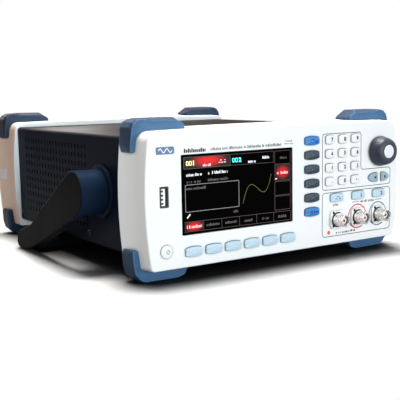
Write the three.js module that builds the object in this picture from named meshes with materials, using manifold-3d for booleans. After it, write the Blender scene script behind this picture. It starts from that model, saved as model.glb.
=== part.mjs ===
// Bench function generator with a tilting carry handle.
// Millimetres, +Z up, +X to the right seen from the front, +Y towards the rear.
// Depths (y) are counted from the face of the front bezel. The root group then shifts
// everything so that the origin is on the ground, mid-width, and half-way between
// the foremost point (the knob) and the rearmost point (the mains rocker).
import * as THREE from "three";
import { mergeVertices, mergeGeometries } from "three/addons/utils/BufferGeometryUtils.js";
import Module from "manifold-3d";

const wasm = await Module();
wasm.setup();

// ---------------------------------------------------------------- driving dimensions
const DEPTH = 280;                  // body, front face to rear edge
const ORIGIN_DEPTH = 134.5;
const BEZEL_DEPTH = 30;             // each moulded end frame
const REAR = DEPTH - BEZEL_DEPTH;   // where the rear frame starts
const MID_Z = 58.4;                 // height at which the frame sides bulge most
const GAP = 0.3;                    // clearance between separate pieces
const WALL = 3;                     // front wall of the front bezel
const SEAT_DEPTH = 22;              // the sleeve sits this far inside each end of the body
const SLEEVE = {
  halfWidth: 114.1, bottom: 15.8, top: 101.7, corner: 2.5, wall: 1.5,
  depth: [SEAT_DEPTH + GAP, DEPTH - SEAT_DEPTH - GAP],
};
const WINDOW = { x: [-90.4, 8.0], z: [33.0, 89.3] };
const POWER = { x: -103.6, z: 23.5, radius: 4.7 };
const USB = { x: -104.3, z: 61.2, width: 6.6, height: 14.2 };
const BNC_X = [52.4, 74.7, 97.3];
const BNC_Z = 29.9;
const KNOB = { x: 98.4, z: 81.5 };
const HANDLE = {
  pivot: [76.3, 59.0],              // y, z
  armInner: 130.5, armOuter: 138.5, hubRadius: 17, pinRadius: 9, pinEnd: 133.5,
};
const INLET = { x: 78, z: 50 };
const ROCKER = { x: INLET.x, y: 277.4, z: 69.8, tilt: 10 };

// ---------------------------------------------------------------- finishes
const FINISH = {
  whitePlastic: { color: 0xe9ebe8, roughness: 0.55 },
  blackPlastic: { color: 0x151517, roughness: 0.5 },
  darkMetal: { color: 0x161b22, roughness: 0.5, metalness: 0.2 },
  rubber: { color: 0x3d5a80, roughness: 0.75 },
  greenBoard: { color: 0x1f5b3a, roughness: 0.6 },
  brownBoard: { color: 0x6c6a3c, roughness: 0.6 },
  lens: { color: 0x0c0c0e, roughness: 0.15 },
  displayModule: { color: 0x2a2d33, roughness: 0.4, metalness: 0.4 },
  encoder: { color: 0x9a9da0, roughness: 0.4, metalness: 0.8 },
  plunger: { color: 0x303236, roughness: 0.6 },
  shaft: { color: 0xc4c6c8, roughness: 0.3, metalness: 0.9 },
  knob: { color: 0x24272c, roughness: 0.5 },
  bnc: { color: 0xc9cbcb, roughness: 0.3, metalness: 1 },
  usb: { color: 0xb8babc, roughness: 0.35, metalness: 0.9 },
  inlet: { color: 0x121214, roughness: 0.5 },
  rocker: { color: 0x1a1a1c, roughness: 0.4 },
};
const KEY_ROUGHNESS = 0.5;
const KEY_COLOR = {
  pale: 0xb9ccd6, blue: 0x2f86d6, slate: 0x3a4557, white: 0xf1f3f2, power: 0xeef0ef,
};

// ---------------------------------------------------------------- mesh and solid conversion
function signedVolume(geometry) {
  const { position } = geometry.attributes;
  const index = geometry.index.array;
  const [a, b, c] = [0, 1, 2].map(() => new THREE.Vector3());
  let total = 0;
  for (let k = 0; k < index.length; k += 3) {
    a.fromBufferAttribute(position, index[k]);
    b.fromBufferAttribute(position, index[k + 1]);
    c.fromBufferAttribute(position, index[k + 2]);
    total += a.dot(b.cross(c)) / 6;
  }
  return total;
}

function flipFaces(geometry) {
  const index = geometry.index.array;
  for (let k = 0; k < index.length; k += 3) {
    [index[k], index[k + 1]] = [index[k + 1], index[k]];
  }
}

// a solid needs positions only, shared vertices merged and faces pointing out
function toSolid(source) {
  for (const name of Object.keys(source.attributes)) {
    if (name !== "position") source.deleteAttribute(name);
  }
  const geometry = mergeVertices(source, 1e-4);
  if (signedVolume(geometry) < 0) flipFaces(geometry);
  return new wasm.Manifold(new wasm.Mesh({
    numProp: 3,
    vertProperties: new Float32Array(geometry.attributes.position.array),
    triVerts: new Uint32Array(geometry.index.array),
  }));
}

function toGeometry(solid) {
  const mesh = solid.getMesh();
  const geometry = new THREE.BufferGeometry();
  const positions = new Float32Array(mesh.vertProperties);
  geometry.setAttribute("position", new THREE.BufferAttribute(positions, 3));
  geometry.setIndex(new THREE.BufferAttribute(new Uint32Array(mesh.triVerts), 1));
  return geometry;
}

const cut = (solid, ...tools) => tools.reduce((rest, tool) => rest.subtract(tool), solid);
const join = (solid, ...others) => others.reduce((sum, other) => sum.add(other), solid);
// disjoint solids gathered into one
const gather = (solids) => toSolid(mergeGeometries(solids.map(toGeometry)));

// ---------------------------------------------------------------- spans and outlines
const around = (centre, half) => [centre - half, centre + half];
// X span between two distances from the mid-plane, on the left (-1) or right (+1)
const onSide = (side, inner, outer) => (side > 0 ? [inner, outer] : [-outer, -inner]);
const toVectors = (points) => points.map(([u, v]) => new THREE.Vector2(u, v));

// points along an arc, angles in degrees, both ends included
function arc(centreU, centreV, radius, start, end, steps) {
  return Array.from({ length: steps + 1 }, (_, k) => {
    const angle = THREE.MathUtils.degToRad(start + (end - start) * k / steps);
    return [centreU + radius * Math.cos(angle), centreV + radius * Math.sin(angle)];
  });
}

// rounded rectangle in the X-Z plane, counter-clockwise
function roundRect(x, z, width, height, radius, steps = 2) {
  return [[1, 1], [-1, 1], [-1, -1], [1, -1]].flatMap(([signX, signZ], corner) => arc(
    x + signX * (width / 2 - radius), z + signZ * (height / 2 - radius),
    radius, 90 * corner, 90 * corner + 90, steps));
}

const windowOutline = (grow, radius) => roundRect(
  (WINDOW.x[0] + WINDOW.x[1]) / 2, (WINDOW.z[0] + WINDOW.z[1]) / 2,
  WINDOW.x[1] - WINDOW.x[0] + 2 * grow, WINDOW.z[1] - WINDOW.z[0] + 2 * grow, radius);

const sleeveOutline = (grow, radius) => roundRect(
  0, (SLEEVE.bottom + SLEEVE.top) / 2,
  2 * (SLEEVE.halfWidth + grow), SLEEVE.top - SLEEVE.bottom + 2 * grow, radius);

// ---------------------------------------------------------------- solid builders
// axis-aligned block from its three spans
function block([x0, x1], [y0, y1], [z0, z1]) {
  const geometry = new THREE.BoxGeometry(x1 - x0, y1 - y0, z1 - z0);
  geometry.translate((x0 + x1) / 2, (y0 + y1) / 2, (z0 + z1) / 2);
  return toSolid(geometry);
}

// round bar along an axis; [u, v] is its centre in the other two coordinates, in x, y, z order
function bar(axis, [start, end], radius, [u, v], segments) {
  const geometry = new THREE.CylinderGeometry(radius, radius, end - start, segments);
  const middle = (start + end) / 2;
  if (axis === "x") geometry.rotateZ(Math.PI / 2).translate(middle, u, v);
  if (axis === "y") geometry.translate(u, middle, v);
  if (axis === "z") geometry.rotateX(Math.PI / 2).translate(u, v, middle);
  return toSolid(geometry);
}

// body of revolution about an axis parallel to Y; profile points are [radius, depth]
function turned(profile, x, z, segments) {
  return toSolid(new THREE.LatheGeometry(toVectors(profile), segments).translate(x, 0, z));
}

// closed skin through [X-Z outline, depth] sections of equal point count
function loft(sections) {
  const clockwise = THREE.ShapeUtils.area(toVectors(sections[0][0])) < 0;
  const outlines = sections.map(([outline]) => (clockwise ? outline.slice().reverse() : outline));
  const positions = outlines.flatMap((outline, s) =>
    outline.flatMap(([x, z]) => [x, sections[s][1], z]));
  const count = outlines[0].length;
  const last = outlines.length - 1;
  const index = [];
  for (let s = 0; s < last; s++) {
    for (let i = 0; i < count; i++) {
      const a = s * count + i;
      const b = s * count + (i + 1) % count;
      index.push(a, b, b + count, a, b + count, a + count);
    }
  }
  const triangles = (outline) => THREE.ShapeUtils.triangulateShape(toVectors(outline), []);
  for (const [a, b, c] of triangles(outlines[0])) index.push(a, c, b);
  for (const triangle of triangles(outlines[last])) {
    index.push(...triangle.map((i) => last * count + i));
  }
  const geometry = new THREE.BufferGeometry();
  geometry.setAttribute("position", new THREE.BufferAttribute(new Float32Array(positions), 3));
  geometry.setIndex(index);
  return toSolid(geometry);
}
const prism = (outline, [y0, y1]) => loft([[outline, y0], [outline, y1]]);

// outline of [y, z] points extruded along X
function extrudeX(outline, [x0, x1]) {
  const shape = new THREE.Shape(toVectors(outline));
  const geometry = new THREE.ExtrudeGeometry(shape, { depth: x1 - x0, bevelEnabled: false });
  geometry.applyMatrix4(new THREE.Matrix4().makeBasis(
    new THREE.Vector3(0, 1, 0), new THREE.Vector3(0, 0, 1), new THREE.Vector3(1, 0, 0)));
  geometry.translate(x0, 0, 0);
  return toSolid(geometry);
}

// ---------------------------------------------------------------- the assembly
const root = new THREE.Group();
root.position.set(0, -ORIGIN_DEPTH, 0);
function place(name, solid, finish) {
  const mesh = new THREE.Mesh(toGeometry(solid), new THREE.MeshStandardMaterial(finish));
  mesh.name = name;
  root.add(mesh);
}

// ---- end frame skin: the sides bulge by `bow` and the top is slightly crowned
const CROWN = 0.7;
// columns: depth, half width, top, bottom, bow, corner radius
const FRONT_FRAME = [
  [0, 117.6, 105.0, 11.5, 3.9, 6.5],
  [0.9, 118.7, 106.0, 10.6, 3.9, 7.5],
  [2.6, 119.3, 106.4, 10.1, 3.9, 8],
  [13, 120.3, 106.8, 9.5, 4.0, 8],
  [22, 122.3, 107.2, 8.9, 3.8, 8.5],
  [29.2, 124.5, 107.6, 8.4, 3.6, 9],
  [30, 124.0, 107.2, 8.8, 3.6, 9],
];
// the rear frame differs in its first three stations only
const REAR_FRAME = [
  [0, 119.4, 106.1, 9.9, 3.9, 8],
  [0.9, 119.9, 106.5, 9.6, 3.9, 8],
  [2.6, 120.1, 106.4, 9.5, 3.9, 8],
  ...FRONT_FRAME.slice(3),
];

function frameOutline(halfWidth, top, bottom, bow, radius) {
  const reach = Math.max(top - MID_Z, MID_Z - bottom);
  const sideX = (z) => halfWidth - bow * ((z - MID_Z) / reach) ** 2;
  // right-hand quarter from the mid-height to the mid-width; `up` is +1 or -1
  const quarter = (up, shoulderZ, edgeZ) => {
    const flank = [0.25, 0.5, 0.75, 1].map((t) => {
      const z = MID_Z + (shoulderZ - MID_Z) * t;
      return [sideX(z), z];
    });
    const [shoulderX, endZ] = flank[3];
    const cornerX = shoulderX - radius;
    const corner = arc(cornerX, endZ, radius, up * 30, up * 90, 2);
    const edge = [0.66, 0.33].map((t) => [cornerX * t, edgeZ(cornerX * t)]);
    return [...flank, ...corner, ...edge];
  };
  const upper = quarter(1, top - CROWN - radius, (x) => top - CROWN * (x / halfWidth) ** 2);
  const lower = quarter(-1, bottom + radius, () => bottom);
  const mirror = ([x, z]) => [-x, z];
  return [
    [halfWidth, MID_Z], ...upper, [0, top], ...upper.map(mirror).reverse(),
    [-halfWidth, MID_Z], ...lower.map(mirror), [0, bottom], ...lower.slice().reverse(),
  ];
}

const frameSkin = (stations, startDepth, grow = 0) => loft(
  stations.map(([depth, halfWidth, top, bottom, bow, radius]) => [
    frameOutline(halfWidth + grow, top + grow, bottom - grow, bow, radius),
    startDepth + depth,
  ]));

// ---- keys; outline(grow) gives the key's outline enlarged all round by `grow`
// proud: how far the cap stands in front of the bezel face
const SOFT_KEY = { width: 13.9, height: 7.2, corner: 2.2, proud: 2.0 };
const FUNCTION_KEY = { width: 14.3, height: 7.0, corner: 1.4, proud: 1.8 };
const NUMBER_KEY = { width: 8.9, height: 6.8, corner: 1.3, proud: 1.8 };
const OUTPUT_KEY = { width: 13.5, height: 6.8, corner: 1.4, proud: 1.8 };
const FUNCTION_KEY_Z = [93.3, 82.3, 71.35, 60.4, 49.45, 38.5];
const NUMBER_ROWS = [
  { z: 93.15, labels: ["7", "8", "9"] },
  { z: 82.25, labels: ["4", "5", "6"] },
  { z: 71.35, labels: ["1", "2", "3"] },
  { z: 60.5, labels: ["dot", "0", "sign"] },
];
const ARROW = { z: 60.45, height: 7.4, proud: 1.8 };

const keys = [];
function addRectKey(name, x, z, { width, height, corner, proud }, color) {
  const outline = (grow) =>
    roundRect(x, z, width + 2 * grow, height + 2 * grow, corner + grow);
  keys.push({ name, x, z, outline, proud, color });
}

// arrow key: half-round at its outer end, flat at the other
function addArrowKey(name, side, flatX, roundX) {
  const { z, height, proud } = ARROW;
  const outline = (grow) => {
    const half = height / 2 + grow;
    const flat = flatX - side * grow;
    const arcX = roundX - side * height / 2;
    return [
      [flat, z + side * half], [flat, z - side * half],
      ...arc(arcX, z, half, -side * 90, -side * 90 + 180, 6),
    ];
  };
  keys.push({ name, x: (flatX + roundX) / 2, z, outline, proud, color: KEY_COLOR.pale });
}

for (let i = 0; i < 6; i++) {
  addRectKey(`soft_key_${i + 1}`, -81.6 + 16.85 * i, 21.1, SOFT_KEY, KEY_COLOR.pale);
}
FUNCTION_KEY_Z.forEach((z, i) => {
  const color = i === 0 || i === 5 ? KEY_COLOR.blue : KEY_COLOR.slate;
  addRectKey(`function_key_${i + 1}`, 26.6, z, FUNCTION_KEY, color);
});
for (const { z, labels } of NUMBER_ROWS) {
  labels.forEach((label, i) =>
    addRectKey(`number_key_${label}`, 44.75 + 13.35 * i, z, NUMBER_KEY, KEY_COLOR.white));
}
["trigger_key", "channel_1_key", "channel_2_key"].forEach((name, i) =>
  addRectKey(name, 52.1 + 22.7 * i, 47.4, OUTPUT_KEY, KEY_COLOR.pale));
addArrowKey("arrow_key_left", -1, 96.2, 86.0);
addArrowKey("arrow_key_right", 1, 100.1, 108.5);
keys.push({
  name: "power_button", x: POWER.x, z: POWER.z, proud: 1.2, color: KEY_COLOR.power,
  outline: (grow) => arc(POWER.x, POWER.z, POWER.radius + grow, 0, 360, 16).slice(0, -1),
});

// cap through the bezel wall, retaining flange and a short plunger behind it
function keySolid({ x, z, outline, proud }) {
  const back = WALL + 1.2;
  const cap = loft([[outline(-0.7), -proud], [outline(0), 0.8 - proud], [outline(0), back]]);
  const flange = prism(outline(0.9), [WALL + 0.35, back]);
  return join(cap, flange, block(around(x, 1.6), [WALL + 1, 9.6], around(z, 1.6)));
}

// ---- front bezel: hollow behind the wall, seat for the sleeve, openings through the wall
const THROUGH_WALL = [-1, WALL + 1];
const usbOpening = roundRect(USB.x, USB.z, USB.width + 2 * GAP, USB.height + 2 * GAP, 0.6, 1);
const sleeveSeat = sleeveOutline(GAP, SLEEVE.corner + GAP);
place("front_bezel", cut(
  frameSkin(FRONT_FRAME, 0),
  prism(roundRect(0, 58.2, 225, 86.4, 8, 3), [WALL, SEAT_DEPTH + 1]),
  prism(sleeveSeat, [SEAT_DEPTH, BEZEL_DEPTH + 1]),
  prism(windowOutline(0, 0.8), THROUGH_WALL),
  prism(usbOpening, THROUGH_WALL),
  bar("y", THROUGH_WALL, 3.8, [KNOB.x, KNOB.z], 20),
  ...BNC_X.map((x) => bar("y", THROUGH_WALL, 5.7, [x, BNC_Z], 20)),
  ...keys.map((key) => prism(key.outline(GAP), THROUGH_WALL))), FINISH.whitePlastic);

for (const key of keys) {
  place(key.name, keySolid(key), { color: key.color, roughness: KEY_ROUGHNESS });
}

// ---- display: lens with a rear rim, and the panel module behind it
place("display_window", join(
  prism(windowOutline(-GAP, 0.6), [0.5, 4.0]),
  prism(windowOutline(2.0, 1.2), [WALL + 0.3, 4.0])), FINISH.lens);
const inset = ([low, high], margin) => [low + margin, high - margin];
place("display_module", join(
  prism(windowOutline(1.2, 1), [4.3, 7.2]),
  block(inset(WINDOW.x, 4), [7, 9.9], inset(WINDOW.z, 4))), FINISH.displayModule);

// ---- key board: clearance for the sockets that pass through it, a switch under every key
const THROUGH_BOARD = [10, 14];
place("key_board", join(
  cut(block(around(0, 109), [11, 12.6], [19.2, 98]),
    block(around(USB.x, 4.2), THROUGH_BOARD, around(USB.z, 8)),
    ...BNC_X.map((x) => bar("y", THROUGH_BOARD, 7.4, [x, BNC_Z], 16))),
  ...keys.map(({ x, z }) => block(around(x, 1.5), [10.55, 11.5], around(z, 1.5)))),
FINISH.greenBoard);

// ---- rotary encoder: bored housing on the key board, plunger, shaft, knob
const knobBar = (span, radius, segments) => bar("y", span, radius, [KNOB.x, KNOB.z], segments);
const encoderBody = block(around(KNOB.x, 6), [3.6, 10.7], around(KNOB.z, 6));
place("rotary_encoder", cut(
  join(encoderBody, knobBar([1.2, 5], 3.4, 20)),
  knobBar([0, 8.2], 2.8, 24),
  knobBar([6, 10.0], 4.2, 20)), FINISH.encoder);
place("encoder_plunger", knobBar([8.4, 9.2], 3.8, 20), FINISH.plunger);
place("encoder_shaft", knobBar([-8.6, 8.1], 2.45, 20), FINISH.shaft);
// columns: radius, depth
const KNOB_PROFILE = [
  [0, -11.0], [5.9, -11.0], [6.3, -11.4], [8.4, -11.4], [9.9, -10.4],
  [10.8, -8.4], [12.1, -2.2], [12.0, -0.9], [10.8, -0.9], [10.6, -2.8],
  [4.2, -2.8], [4.0, -1.8], [2.75, -1.8], [2.75, -9.0], [0, -9.0],
];
place("knob", turned(KNOB_PROFILE, KNOB.x, KNOB.z, 28), FINISH.knob);

// ---- BNC sockets: tail through the wall, barrel with bore and centre contact
// columns: radius, depth
const BNC_PROFILE = [
  [0, 19.5], [2.2, 19.5], [2.2, 15.5], [5.3, 15.5], [5.3, -3],
  [4.8, -3], [4.8, -10.9], [3.75, -10.9], [3.75, -2.4], [2.4, -2.4],
  [2.4, -7.6], [1.0, -7.6], [1.0, -9.6], [0, -9.6],
];
function bncSocket(x) {
  const flange = prism(roundRect(x, BNC_Z, 15.4, 15.4, 3.2), [-2.3, -0.25]);
  // a cross bar with its middle removed, so that it leaves the bore open
  const lugs = cut(
    bar("x", around(x, 5.75), 1.0, [-6.6, BNC_Z], 8),
    bar("y", [-12, 0], 4.5, [x, BNC_Z], 16));
  return join(turned(BNC_PROFILE, x, BNC_Z, 16), flange, lugs);
}
["bnc_sync", "bnc_channel_1", "bnc_channel_2"].forEach((name, i) =>
  place(name, bncSocket(BNC_X[i]), FINISH.bnc));

// ---- front USB socket: metal shell with an open mouth and a contact tongue
place("usb_port", join(
  cut(block(around(USB.x, USB.width / 2), [0.4, 14.5], around(USB.z, USB.height / 2)),
    block(around(USB.x, 2.6), [-1, 12.5], around(USB.z, 6.3))),
  block([USB.x - 2.2, USB.x - 0.5], [2.0, 13], around(USB.z, 5.6))), FINISH.usb);

// ---- metal sleeve: rectangular tube with vent slots and a hub hole in both sides
const VENT = { columns: 17, firstDepth: 102, pitch: 8.2, width: 2.2, rows: [[31, 59], [63, 91]] };
const throughSide = (side) => onSide(side, 110, 118);
function ventSlots() {
  const slots = [];
  for (let column = 0; column < VENT.columns; column++) {
    const y = VENT.firstDepth + column * VENT.pitch;
    for (const row of VENT.rows) {
      for (const side of [-1, 1]) {
        slots.push(block(throughSide(side), [y, y + VENT.width], row));
      }
    }
  }
  return gather(slots);
}
const [sleeveFront, sleeveRear] = SLEEVE.depth;
place("chassis_sleeve", cut(
  prism(sleeveOutline(0, SLEEVE.corner), SLEEVE.depth),
  prism(sleeveOutline(-SLEEVE.wall, 1.2), [sleeveFront - 1, sleeveRear + 1]),
  ventSlots(),
  ...[-1, 1].map((side) => bar("x", throughSide(side), 6.6, HANDLE.pivot, 20))),
FINISH.darkMetal);

// ---- handle hubs: flange on the sleeve, bearing pin outwards, boss inwards
const pivotBar = (side, inner, outer, radius, segments = 28) =>
  bar("x", onSide(side, inner, outer), radius, HANDLE.pivot, segments);
for (const [side, name] of [[-1, "handle_hub_left"], [1, "handle_hub_right"]]) {
  place(name, join(
    pivotBar(side, SLEEVE.halfWidth + GAP, 116.7, 20),
    pivotBar(side, 116, HANDLE.pinEnd, HANDLE.pinRadius),
    pivotBar(side, 108.5, 116, 6.2, 20)), FINISH.blackPlastic);
}

// ---- handle: two arms with round hubs, joined by a flat crossbar under the sleeve
// columns: y, z
const ARM_OUTLINE = [
  ...arc(...HANDLE.pivot, HANDLE.hubRadius, 58, 249, 14),
  [101.6, 29.4], [122.4, 21.0], [144.6, 12.4], [163.3, 5.3], [172, 2.4],
  [180, 0.9], [190, 0.5], [195.5, 1.8], [198.4, 5.2], [198.2, 9.6],
  [195.2, 13.9], [190, 17.0], [178, 20.8], [165.3, 25.0], [153, 32.4],
  [141.1, 40.4], [118.7, 53.3], [97.6, 66.1],
];
const CROSSBAR_OUTLINE = [
  [163, 5.3], [166, 2.8], [172, 1.6], [186, 0.8], [193, 1.6], [196, 4.5],
  [195, 8.5], [190, 11.2], [178, 12.4], [168, 12.4], [164, 9.6],
];
const handleHalf = (side) => cut(
  join(extrudeX(ARM_OUTLINE, onSide(side, HANDLE.armInner, HANDLE.armOuter)),
    pivotBar(side, 117.1, HANDLE.armInner + 1, HANDLE.hubRadius)),
  pivotBar(side, 115, HANDLE.pinEnd + 0.5, HANDLE.pinRadius + 0.35));
place("handle", join(
  handleHalf(-1), handleHalf(1),
  extrudeX(CROSSBAR_OUTLINE, around(0, HANDLE.armInner + 1))), FINISH.blackPlastic);

// ---- rear bezel: seat for the sleeve, recess for the panel, open rear
place("rear_bezel", cut(
  frameSkin(REAR_FRAME, REAR),
  prism(sleeveSeat, [REAR - 1, DEPTH - SEAT_DEPTH]),
  prism(roundRect(0, MID_Z, 226, 87, 6, 3), [REAR + 7, DEPTH - 3]),
  prism(roundRect(0, MID_Z, 216, 78, 5, 3), [DEPTH - 4, DEPTH + 1])), FINISH.whitePlastic);

// ---- rear panel: openings for inlet and rocker, and a row of upright slots
const THROUGH_PANEL = [DEPTH - 8, DEPTH];
const panelSlots = Array.from({ length: 9 }, (_, k) =>
  block([-22 + k * 5, -19.6 + k * 5], THROUGH_PANEL, [34, 82]));
place("rear_panel", cut(
  prism(roundRect(0, MID_Z, 224.6, 85.6, 5.6), [DEPTH - 5.1, DEPTH - 3.3]),
  block(around(INLET.x, 14.3), THROUGH_PANEL, around(INLET.z, 10.3)),
  block(around(ROCKER.x, 10.8), THROUGH_PANEL, around(ROCKER.z, 6.9)),
  gather(panelSlots)), FINISH.darkMetal);

// ---- mains inlet: body with an open three-pin cavity, and the rocker's frame above it
// offsets from the inlet centre: x, z
const CAVITY = [[-12, -8], [12, -8], [12, 3.5], [7.5, 8], [-7.5, 8], [-12, 3.5]];
const PINS = [[-7, -2], [0, 2.2], [7, -2]];
function powerInlet() {
  const plateSpan = [DEPTH - 3, DEPTH - 0.8];
  const housing = join(
    block(around(INLET.x, 14), [DEPTH - 24, DEPTH - 3], around(INLET.z, 10)),
    prism(roundRect(INLET.x, INLET.z + 4.2, 32, 33, 3), plateSpan),
    block(around(ROCKER.x, 10.5), [DEPTH - 16, DEPTH - 1.5], around(ROCKER.z, 6.6)),
    prism(roundRect(ROCKER.x, ROCKER.z - 1, 32, 21, 3), plateSpan));
  const cavity = CAVITY.map(([dx, dz]) => [INLET.x + dx, INLET.z + dz]);
  const pins = PINS.map(([dx, dz]) =>
    block(around(INLET.x + dx, 1), [DEPTH - 21, DEPTH - 5], around(INLET.z + dz, 2)));
  return join(
    cut(housing,
      block(around(ROCKER.x, 9.5), [DEPTH - 14.5, DEPTH], around(ROCKER.z, 5.9)),
      prism(cavity, [DEPTH - 20, DEPTH])),
    ...pins);
}
place("power_inlet", powerInlet(), FINISH.inlet);

// ---- mains rocker: two faces at a shallow angle, tilted about its upright mid-line
// columns: x, y
const ROCKER_OUTLINE = [
  [-8.6, 1.5], [0, 0.0], [8.6, 1.5], [8.6, -3.0], [3, -8], [-3, -8], [-8.6, -3.0],
];
function rocker() {
  const height = 11;
  const shape = new THREE.Shape(toVectors(ROCKER_OUTLINE));
  const geometry = new THREE.ExtrudeGeometry(shape, { depth: height, bevelEnabled: false });
  geometry.translate(0, 0, -height / 2);
  geometry.rotateZ(THREE.MathUtils.degToRad(-ROCKER.tilt));
  geometry.translate(ROCKER.x, ROCKER.y, ROCKER.z);
  return toSolid(geometry);
}
place("power_rocker", rocker(), FINISH.rocker);

// ---- boards inside the sleeve, with box-shaped and round upright parts
// boxes: x span, y span, top; cylinders: x, y, radius, top
function circuitBoard({ x, y, boxes, cylinders, segments }) {
  const partBase = 25.4;
  return join(
    block(x, y, [24, 25.6]),
    ...boxes.map(([boxX, boxY, top]) => block(boxX, boxY, [partBase, top])),
    ...cylinders.map(([cx, cy, radius, top]) =>
      bar("z", [partBase, top], radius, [cx, cy], segments)));
}
place("main_board", circuitBoard({
  x: [-98, 40],
  y: [40, 236],
  boxes: [
    [[-80, -30], [60, 120], 31],
    [[-20, 20], [60, 100], 33],
    [[-70, -40], [140, 180], 41],
    [[-20, 25], [130, 200], 30],
  ],
  cylinders: [[30, 215, 5, 36], [15, 215, 5, 36]],
  segments: 12,
}), FINISH.greenBoard);
place("power_supply", circuitBoard({
  x: [50, 106],
  y: [120, 240],
  boxes: [
    [[58, 92], [130, 160], 54],
    [[60, 64], [200, 232], 58],
    [[96, 99], [130, 220], 50],
  ],
  cylinders: [[70, 185, 9, 50], [92, 185, 7, 46]],
  segments: 14,
}), FINISH.brownBoard);

// ---- rubber corner bumpers; the lower four are the feet
// right-hand outlines, columns x, z: `full` is the widest section, `facet` the front end
const BUMPERS = {
  top: {
    full: [
      [122.3, 91.6], [122.6, 96.5], [122.0, 109.0], [119.6, 112.4], [116.0, 114.2],
      [113.3, 114.6], [108.7, 114.85], [104.0, 114.9], [86.2, 114.8], [77.2, 108.8],
      [76.5, 106.4], [76.5, 99], [108, 99], [108, 91.2],
    ],
    facet: [
      [122.0, 92.5], [122.0, 96.5], [120.6, 107.2], [119.4, 110.6], [116.7, 113.2],
      [113.3, 114.4], [108.7, 113.6], [106.4, 112.6], [84.0, 112.2], [79.7, 110.4],
      [78.8, 106.0], [78.8, 99], [108, 99], [108, 92.0],
    ],
  },
  bottom: {
    full: [
      [122.4, 24.0], [122.9, 20.2], [122.6, 11.5], [121.0, 5.6], [115.4, 0.6], [112.6, 0],
      [87.0, 0], [80.5, 2.2], [76.5, 7.5], [76.5, 16], [108, 16], [108, 24.0],
    ],
    facet: [
      [122.2, 23.5], [122.5, 20.2], [121.7, 13.7], [120.7, 7.3], [116.9, 2.8], [113.8, 0.9],
      [87.0, 0.6], [81.0, 2.3], [79.0, 6.5], [79.0, 16], [108, 16], [108, 23.5],
    ],
  },
};
// columns: depth within the frame, share of the facet outline
const BUMPER_STATIONS = [[13.3, 1], [14.1, 0.35], [16.2, 0], [28.4, 0], [29.4, 0.5]];
function bumper({ full, facet }, side, startDepth) {
  const blend = (share) => full.map(([x, z], i) => [
    side * (x * (1 - share) + facet[i][0] * share),
    z * (1 - share) + facet[i][1] * share,
  ]);
  return loft(BUMPER_STATIONS.map(([depth, share]) => [blend(share), startDepth + depth]));
}
for (const [end, startDepth, frame] of [["front", 0, FRONT_FRAME], ["rear", REAR, REAR_FRAME]]) {
  for (const [level, outlines] of Object.entries(BUMPERS)) {
    for (const [side, hand] of [[-1, "left"], [1, "right"]]) {
      const fitted = cut(bumper(outlines, side, startDepth), frameSkin(frame, startDepth, GAP));
      place(`bumper_${end}_${level}_${hand}`, fitted, FINISH.rubber);
    }
  }
}

export default root;
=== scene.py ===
# Looks for a bench function generator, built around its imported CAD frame.
# The front panel faces -Y, +X is to the right seen from the front, and +Z is up.
# Shapes are given in millimetres as (x, depth behind the front face, z) and become
# metres in the row frame, whose origin lies ORIGIN_DEPTH behind the front face.
from functools import partial
from math import atan2, cos, hypot, pi, radians, sin
from types import SimpleNamespace

import bmesh
import bpy
from mathutils import Matrix, Vector

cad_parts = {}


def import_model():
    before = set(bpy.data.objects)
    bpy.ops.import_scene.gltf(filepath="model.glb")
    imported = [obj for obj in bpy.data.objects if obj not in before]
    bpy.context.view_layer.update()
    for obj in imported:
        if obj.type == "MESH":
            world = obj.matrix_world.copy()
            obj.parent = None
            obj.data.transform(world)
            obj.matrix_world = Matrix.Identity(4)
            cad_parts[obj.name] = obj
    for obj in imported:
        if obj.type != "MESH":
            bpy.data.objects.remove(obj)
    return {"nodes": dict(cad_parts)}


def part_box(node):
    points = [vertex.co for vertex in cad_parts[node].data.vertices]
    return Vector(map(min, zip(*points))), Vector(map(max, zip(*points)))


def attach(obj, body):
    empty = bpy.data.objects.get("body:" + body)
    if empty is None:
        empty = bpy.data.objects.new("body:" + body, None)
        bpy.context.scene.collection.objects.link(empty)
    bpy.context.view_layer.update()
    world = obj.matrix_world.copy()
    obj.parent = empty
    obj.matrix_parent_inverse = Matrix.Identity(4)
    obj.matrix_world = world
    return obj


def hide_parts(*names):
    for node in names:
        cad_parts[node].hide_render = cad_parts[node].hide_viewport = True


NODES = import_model()["nodes"]
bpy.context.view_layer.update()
scene = bpy.context.scene

ORIGIN_DEPTH = 134.5
REAR = 250.0                    # depth where the rear frame starts
MID_Z = 58.4                    # height of the widest part of both end frames
SIDES = ((-1, "left"), (1, "right"))


# ------------------------------------------------------------------ coordinates
def to_metres(x, depth, z):
    return (x / 1e3, (depth - ORIGIN_DEPTH) / 1e3, z / 1e3)


def node_box(node):
    """Box of a CAD node: x0, depth0, z0, x1, depth1, z1."""
    lo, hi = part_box(node)
    return (lo.x * 1e3, lo.y * 1e3 + ORIGIN_DEPTH, lo.z * 1e3,
            hi.x * 1e3, hi.y * 1e3 + ORIGIN_DEPTH, hi.z * 1e3)


def node_centre(node):
    """Centre (x, z) of a CAD node."""
    x0, _, z0, x1, _, z1 = node_box(node)
    return (x0 + x1) / 2, (z0 + z1) / 2


# ------------------------------------------------------------------ shader helpers
def rgba(colour):
    """Linear RGBA from an sRGB colour."""
    return (*(v / 12.92 if v <= 0.04045 else ((v + 0.055) / 1.055) ** 2.4 for v in colour), 1)


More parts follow.
